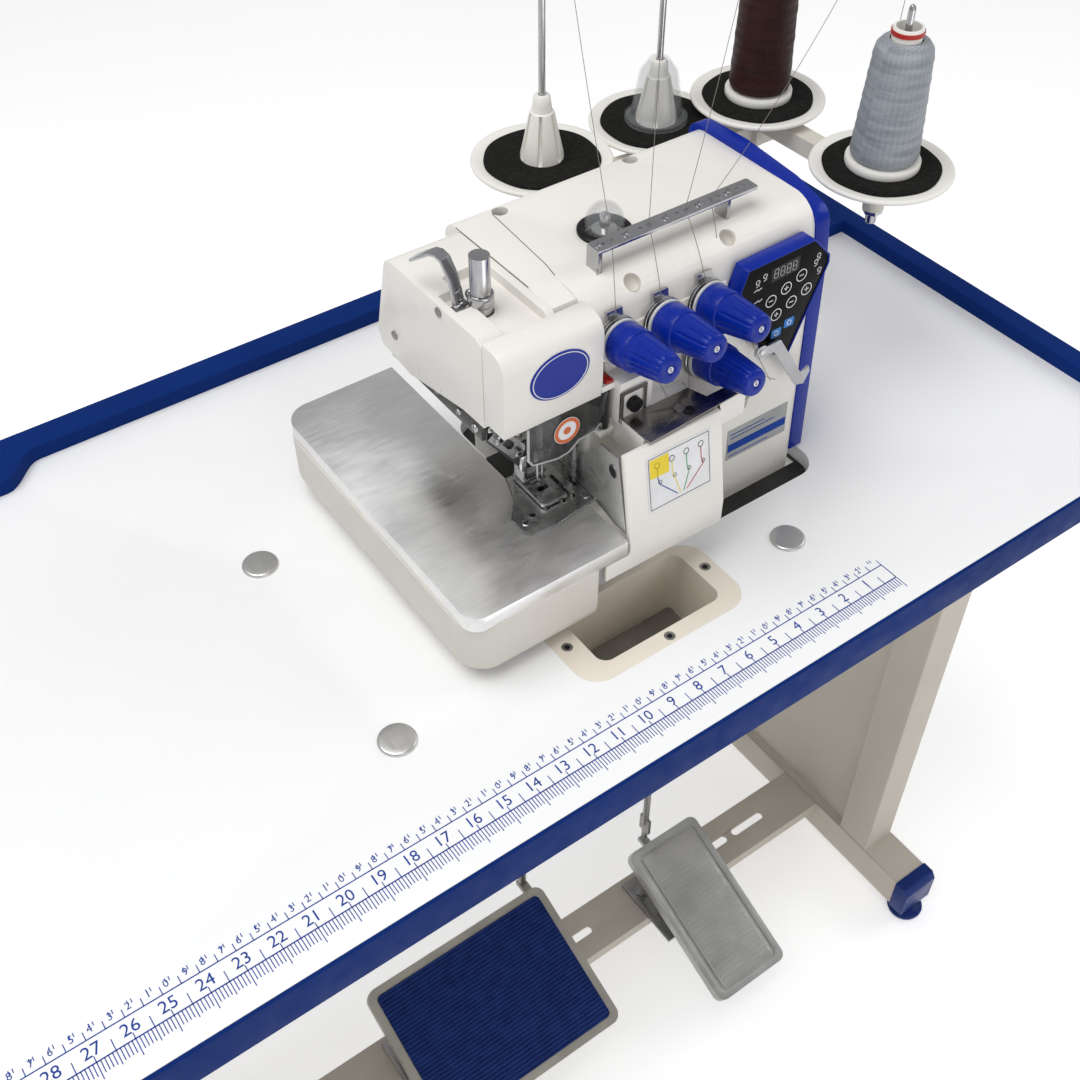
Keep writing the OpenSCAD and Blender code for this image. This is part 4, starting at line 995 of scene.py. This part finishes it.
def tension_knobs():
    steps = 96
    # (radius, height in millimetres, depth of the flutes)
    profile = ((0.0150, 11.0, 0), (0.0168, 11.0, 0), (0.0170, 11.6, 0), (0.0167, 22, 0), (0.0163, 28.2, 0),
               (0.0158, 29.4, 0), (0.0149, 29.8, 0), (0.0147, 31, 0), (0.0146, 34, 0.2), (0.0143, 37, 1),
               (0.0133, 46, 1), (0.0121, 55, 1), (0.0114, 60, 0.8), (0.0106, 62.4, 0.3), (0.0090, 63.6, 0),
               (0.0060, 64, 0), (0.0042, 64, 0), (0.0038, 63.2, 0), (0.0, 63.2, 0))
    washers = []
    for i, knob in enumerate(KNOBS):
        seat = spot(*knob, 80)
        rows = []
        for r, z, flute in profile:
            angles = [2 * math.pi * k / steps for k in range(steps)]
            radii = [(a, r - max(0.0, math.cos(12 * a)) ** 4 * 0.0009 * flute) for a in angles]
            rows.append([(rr * math.cos(a), rr * math.sin(a), z * MM) for a, rr in radii])
        body = "knob_%d" % (i + 1)
        grip = add_mesh(body + "_grip", *placed(welded(*lofted(rows)), seat), "blue", body, "blue_plastic")
        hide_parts("tension_" + body)
        tip = joined([ring_on((0, 0), 0.0016, 0.0007, 0.0004, 20),
                      bar_on((-0.0014, -0.0005), (0.0014, 0.0005), 0.0007, 0.0004)])
        tip = placed(tip, seat @ shift(0, 0, 0.0633))
        add_mesh(body + "_screw", *tip, "print_white", body, "blue_plastic", False)
        washers.append(placed(turned([(0.0150, 0.0086), (0.0178, 0.0086), (0.0182, 0.0091), (0.0182, 0.0102),
                                      (0.0178, 0.0108), (0.0150, 0.0108)]), seat))
    add_mesh("tension_washers", *joined(washers), "label_pale", "station", "chrome")


# ---------------- small fittings on the head


def head_screws():
    """Slotted screws along the guide bar."""
    random.seed(4)
    heads, grooves = [], []
    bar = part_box("guide_bar")[1].z
    for x in (0.098, 0.123, 0.160, 0.191, 0.219):
        seat = shift(x, -0.0665, bar)
        dome, groove = screw_head(0.0026, 0.0016, random.uniform(0, 3))
        heads.append(placed(dome, seat))
        grooves.append(placed(groove, seat))
    add_mesh("bar_screws", *joined(heads), "chrome", "station", "chrome")
    # painted shade: the screw slots as dark bars
    add_mesh("bar_screw_slots", *joined(grooves), "dark", "station", "dark_casting")


def under_head():
    """Springs, collars and small levers of the presser and needle drive, seen under the head."""
    above = shift(0, 0, TABLE)
    clamp = turned([(0.0, -0.002), (0.0042, -0.002), (0.0048, -0.001), (0.0048, 0.001), (0.0042, 0.002),
                    (0, 0.002)], 24)
    add_mesh("needle_clamp_screw", *placed(clamp, spot(0.0405, -0.086, 0.117, 90, "Y")), "chrome",
             "needle_bar", "ground_steel")
    spring = swept(helix(0.022, -0.070, 0.126, 0.152, 0.0042, 7), 0.0007, 8)
    add_mesh("presser_spring", *placed(spring, above), "ground", "presser", "ground_steel")
    rail = block((-0.0135, -0.078, 0.146), (-0.0085, 0.050, 0.164), 0.0012)
    add_mesh("presser_rail", *placed(rail, above), "link", "presser", "blued_steel")
    # slotted link on the sloping arm, and the small frame it reaches down to
    seat, length = between((-0.0035, -0.0762, 0.150), (0.0185, -0.0762, 0.1205))
    outer = [(0, -0.0070), (length, -0.0070), (length + 0.004, -0.003), (length + 0.004, 0.004),
             (length, 0.0070), (0, 0.0070)]
    inner = [(0.016, -0.0032), (length - 0.012, -0.0034), (length - 0.009, -0.0015),
             (length - 0.009, 0.0015), (length - 0.012, 0.0034), (0.016, 0.0032)]
    plates = [placed(frame_plate(outer, inner, 0.0028), seat)]
    seat, length = between((0.0235, -0.0761, 0.0925), (0.0445, -0.0761, 0.0925))
    outer = [(0, -0.0058), (length, -0.0058), (length, 0.0058), (0, 0.0058)]
    inner = [(0.003, -0.0034), (length - 0.003, -0.0034), (length - 0.003, 0.0034), (0.003, 0.0034)]
    plates.append(placed(frame_plate(outer, inner, 0.0022), seat))
    add_mesh("presser_link", *placed(joined(plates), above), "ground", "presser", "ground_steel")
    end_block = block((0.0200, -0.0800, 0.0985), (0.0256, -0.0740, 0.1140), 0.0010)
    add_mesh("presser_link_end", *placed(end_block, above), "ground", "presser", "ground_steel")
    dark_parts, bright_parts = [], []
    # slotted screws along the rail, then round-headed ones with a hexagon at the link's ends
    rail_screws = ((-0.070, 0.1545, 0.0036), (-0.048, 0.1552, 0.0030), (-0.018, 0.1556, 0.0030),
                   (0.020, 0.1560, 0.0034))
    for k, (y, z, radius) in enumerate(rail_screws):
        dome, groove = screw_head(radius, 0.0018, 0.6 * k)
        seat = spot(-0.0135, y, z, -90, "Y")
        bright_parts.append(placed(dome, seat))
        dark_parts.append(placed(groove, seat))
    for x, y, z, r in ((0.0010, -0.0785, 0.1430, 0.0046), (-0.0045, -0.0762, 0.1555, 0.0042),
                       (0.0175, -0.0785, 0.1215, 0.0036)):
        seat = spot(x, y, z, 90)
        bolt = turned([(0, 0), (r, 0), (r, 0.003), (r * 0.8, 0.0038), (0, 0.0038)], 24)
        bright_parts.append(placed(bolt, seat))
        socket = turned([(0, 0.0036), (r * 0.45, 0.0036), (r * 0.45, 0.0040), (0, 0.0040)], 6)
        dark_parts.append(placed(socket, seat))
    add_mesh("presser_screws", *joined(bright_parts), "chrome", "presser", "ground_steel")
    # painted shade: the screws' slots and hexagon sockets as dark pieces
    add_mesh("presser_screw_slots", *joined(dark_parts), "black", "presser", "dark_casting")
    levers = joined([block((0.0300, -0.0765, 0.128), (0.0420, -0.0690, 0.1400), 0.0008),
                     block((0.0480, -0.0740, 0.130), (0.0520, -0.0560, 0.1420), 0.0008)])
    add_mesh("presser_levers", *placed(levers, above), "link", "presser", "blued_steel")


def guard_ring():
    """The plain ring on the clear eye guard, and a pale tube along the guard's edge as a painted highlight.
    """
    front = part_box("eye_guard")[0].y
    place = spot(0.0351, front, 0.1605, 90)
    disc = flat_sheet(oval(0.0115, 0.0115, 40), 0.0003)
    add_mesh("guard_disc", *placed(disc, place), "print_white", "eye_guard", "clear_plastic", False)
    parts = [ring_on((0, 0), 0.0082, 0.0028, 0.0004, 40), flat_sheet(oval(0.0032, 0.0032, 24), 0.0004)]
    add_mesh("guard_ring", *placed(joined(parts), place @ shift(0, 0, 0.0002)), "orange", "eye_guard",
             "clear_plastic", False)
    # millimetres: x, and z above the table
    outline = ((1.7, 177), (1.7, 147.3), (5.4, 141.2), (28, 136.3), (37.7, 137.7), (46.7, 144.9),
               (61.7, 146.7), (68.4, 152.3))
    rim = []
    for (ax, az), (bx, bz) in zip(outline, outline[1:]):
        rim += [((ax + (bx - ax) * k / 4) * MM, front + 0.0013, TABLE + (az + (bz - az) * k / 4) * MM)
                for k in range(4)]
    # painted highlight: a pale, nearly opaque tube where the clear guard's edge catches the light
    add_mesh("guard_edge_highlight", *swept(rim, 0.0011, 8), "edge", "eye_guard", "clear_plastic")


def dark_holes():
    """Ringed oil hole under the knobs, the hole in the chip guard, and the chute's screw sockets, their
    insides as dark discs of painted shade.
    """
    rings, darks = [], []
    face = spot(0.1454, -0.1128, 0.143, 80)
    rings.append(placed(rim_ring(0.0040, 0.0058, 0.0014, 0.0006), face))
    # painted shade: a dark disc for the inside of the oil hole
    darks.append(placed(flat_sheet(oval(0.0042, 0.0042, 24), 0.0008), face))
    for x, y in ((-0.005, -0.175), (0.067, -0.2125), (0.1375, -0.172)):
        seat = spot(x, y, -0.0010)
        rings.append(placed(rim_ring(0.0024, 0.0040, 0.0006, 0.0004, 28), seat))
        # painted shade: a dark hexagon inside each socket
        darks.append(placed(flat_sheet(oval(0.0026, 0.0026, 6), 0.0004), seat))
    plug = turned([(0, 0), (0.0042, 0), (0.0042, 0.0012), (0.003, 0.0018), (0, 0.0018)], 28)
    darks.append(placed(plug, spot(0.1265, -0.1464, 0.1544)))
    fold = Vector((-32, 4, 0)).to_track_quat("Z", "Y").to_matrix().to_4x4()
    seat = spot(0.0576, -0.1448, 0.1287) @ fold
    # painted shade: a dark disc for the chip guard's hole
    darks.append(placed(flat_sheet(oval(0.0048, 0.0048, 28), 0.0005), seat))
    rings.append(placed(rim_ring(0.0048, 0.0056, 0.0007, 0.0004), seat))
    add_mesh("oil_hole_rings", *joined(rings), "zinc", "station", "zinc_steel")
    add_mesh("hole_shades_and_plug", *joined(darks), "black", "station", "black_plastic", False)


def needle_plate_trim():
    """Bright worn edge of the needle plate, its two screws and its rivet hole, with the slots and the hole's
    inside as painted shade.
    """
    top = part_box("needle_plate")[1].z
    outline = ((-4, -101), (-4, -119), (0, -123), (22, -124.5), (64, -118.5), (64, -60), (19, -60), (10, -84))
    path = [(x * MM, y * MM, top - 0.0003) for x, y in outline + outline[:1]]
    edge = [swept([a, b], 0.00045, 8) for a, b in zip(path, path[1:])]
    add_mesh("needle_plate_edge", *joined(edge), "chrome", "station", "ground_steel")
    heads, slots = [], []
    for x, y, turn in ((0.003, -0.110, 0.5), (0.058, -0.112, 1.9)):
        seat = shift(x, y, top)
        dome, groove = screw_head(0.0034, 0.0008, turn)
        heads.append(placed(dome, seat))
        slots.append(placed(groove, seat))
    rivet = shift(0.0115, -0.106, top)
    # painted shade: a dark disc inside the rivet hole
    slots.append(placed(flat_sheet(oval(0.0020, 0.0020, 20)), rivet))
    heads.append(placed(ring_on((0, 0), 0.0020, 0.0008, 0.0003, 24), rivet))
    add_mesh("needle_plate_screws", *joined(heads), "chrome", "station", "zinc_steel")
    add_mesh("needle_plate_slots", *joined(slots), "black", "station", "dark_casting")


def head_seams():
    """Joint lines across the head's top, and the shallow cups of the two oiling holes."""
    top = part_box("face_cover")[1].z + 0.00005
    thin = 0.00012
    strips = bars_along(((0.076, 0.036), (0.0755, 0.030), (0.070, -0.042), (0.0672, -0.057)), 0.0007, thin)
    strips.append(bar_on((0.0433, 0.036), (0.0433, -0.058), 0.0008, thin))
    lines = placed(joined(strips), shift(0, 0, top))
    add_mesh("head_seam_lines", *lines, "shadow", "station", "cream_paint", False)
    cup = turned([(0, 0.0135), (0.0040, 0.0137), (0.0062, 0.0148), (0.0069, 0.0165), (0.0069, 0.0195)], 32)
    cups = [placed(cup, spot(x, y, 0.225, 35)) for x, y in ((0.113, -0.077), (0.205, -0.074))]
    add_mesh("oiling_cups", *joined(cups), "shell", "station", "cream_paint")


def clamp_collar():
    """Clamp ring with its side screw low on the pressure screw."""
    seat = spot(0.007, -0.052, 0)
    ring = turned([(0.0078, 0.2470), (0.0092, 0.2470), (0.0096, 0.2476), (0.0096, 0.2550), (0.0092, 0.2556),
                   (0.0078, 0.2556)], 40)
    lug = placed(turned([(0, 0), (0.0036, 0), (0.0036, 0.0050), (0.0028, 0.0060), (0, 0.0060)], 24),
                 shift(-0.0010, 0.0068, 0.2515) @ Matrix.Rotation(math.radians(-78), 4, "Y"))
    add_mesh("pressure_collar", *placed(joined([ring, lug]), seat), "chrome", "pressure_screw", "chrome")
    cap = turned([(0, 0.2856), (0.0062, 0.2856), (0.0074, 0.2846), (0.0074, 0.2836), (0, 0.2836)], 40)
    add_mesh("pressure_cap", *placed(cap, seat), "zinc", "pressure_screw", "chrome")


def opening_shades():
    """Dark frame as painted shade round the head in the table opening, and a grey sheet as painted shade on
    the floor of the chute.
    """
    # painted shade: a dark frame 18 mm below the table top darkens the recess round the head
    outer = round_box((0.0665, 0.2995), (-0.1365, 0.0995), 0.0215, 6)
    inner = round_box((0.0700, 0.2990), (-0.1105, 0.0615), 0.0015, 6)
    shade_frame = placed(frame_plate(outer, inner, 0.004), spot(0, 0, -0.018))
    add_mesh("table_hole_shade", *shade_frame, "dark", "station", "dark_casting", False)
    # painted shade: a grey sheet on the chute floor where the opening below lies in shade
    floor = placed(flat_sheet(round_box((0.0125, 0.1225), (-0.1995, -0.1500), 0.004, 4), 0.0006),
                   shift(0, 0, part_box("waste_chute")[0].z + 0.0102))
    add_mesh("chute_floor_shade", *floor, "shadow", "station", "cream_plastic", False)


def button_frame():
    """Bright frame round the feed button, and the red stop beside it."""
    low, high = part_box("feed_button")
    centre = (low + high) / 2
    outer = round_box((-0.0125, 0.0125), (-0.0150, 0.0150), 0.002, 3)
    inner = round_box((-0.0092, 0.0092), (-0.0110, 0.0110), 0.0015, 3)
    button_face = -0.12405
    place = front_plane(button_face) @ shift(centre.x, centre.z, 0)
    frame_ring = placed(frame_plate(outer, inner, 0.0012), place)
    add_mesh("button_frame", *frame_ring, "chrome", "station", "chrome", False)
    red = block((0.0705, -0.1165, TABLE + 0.1855), (0.0770, -0.1045, TABLE + 0.1880), 0.0006)
    add_mesh("guard_stop", *red, "red", "station", "blue_plastic")


# ---------------- build

add_camera()
add_studio()
make_materials()
dress_nodes()
print_ruler()
cloth_shell()
oil_sight()
badge()
panel_print()
name_plate()
threading_chart()
spool_parts()
foam_pads()
cone("maroon_cone", 2, 0.028, 0.024, 0.150, "maroon_thread", "disc")
cone("grey_cone", 3, 0.0295, 0.0245, 0.112, "grey_thread", "red")
sewing_threads()
tension_knobs()
head_screws()
under_head()
guard_ring()
button_frame()
opening_shades()
dark_holes()
needle_plate_trim()
head_seams()
clamp_collar()
add_floor()
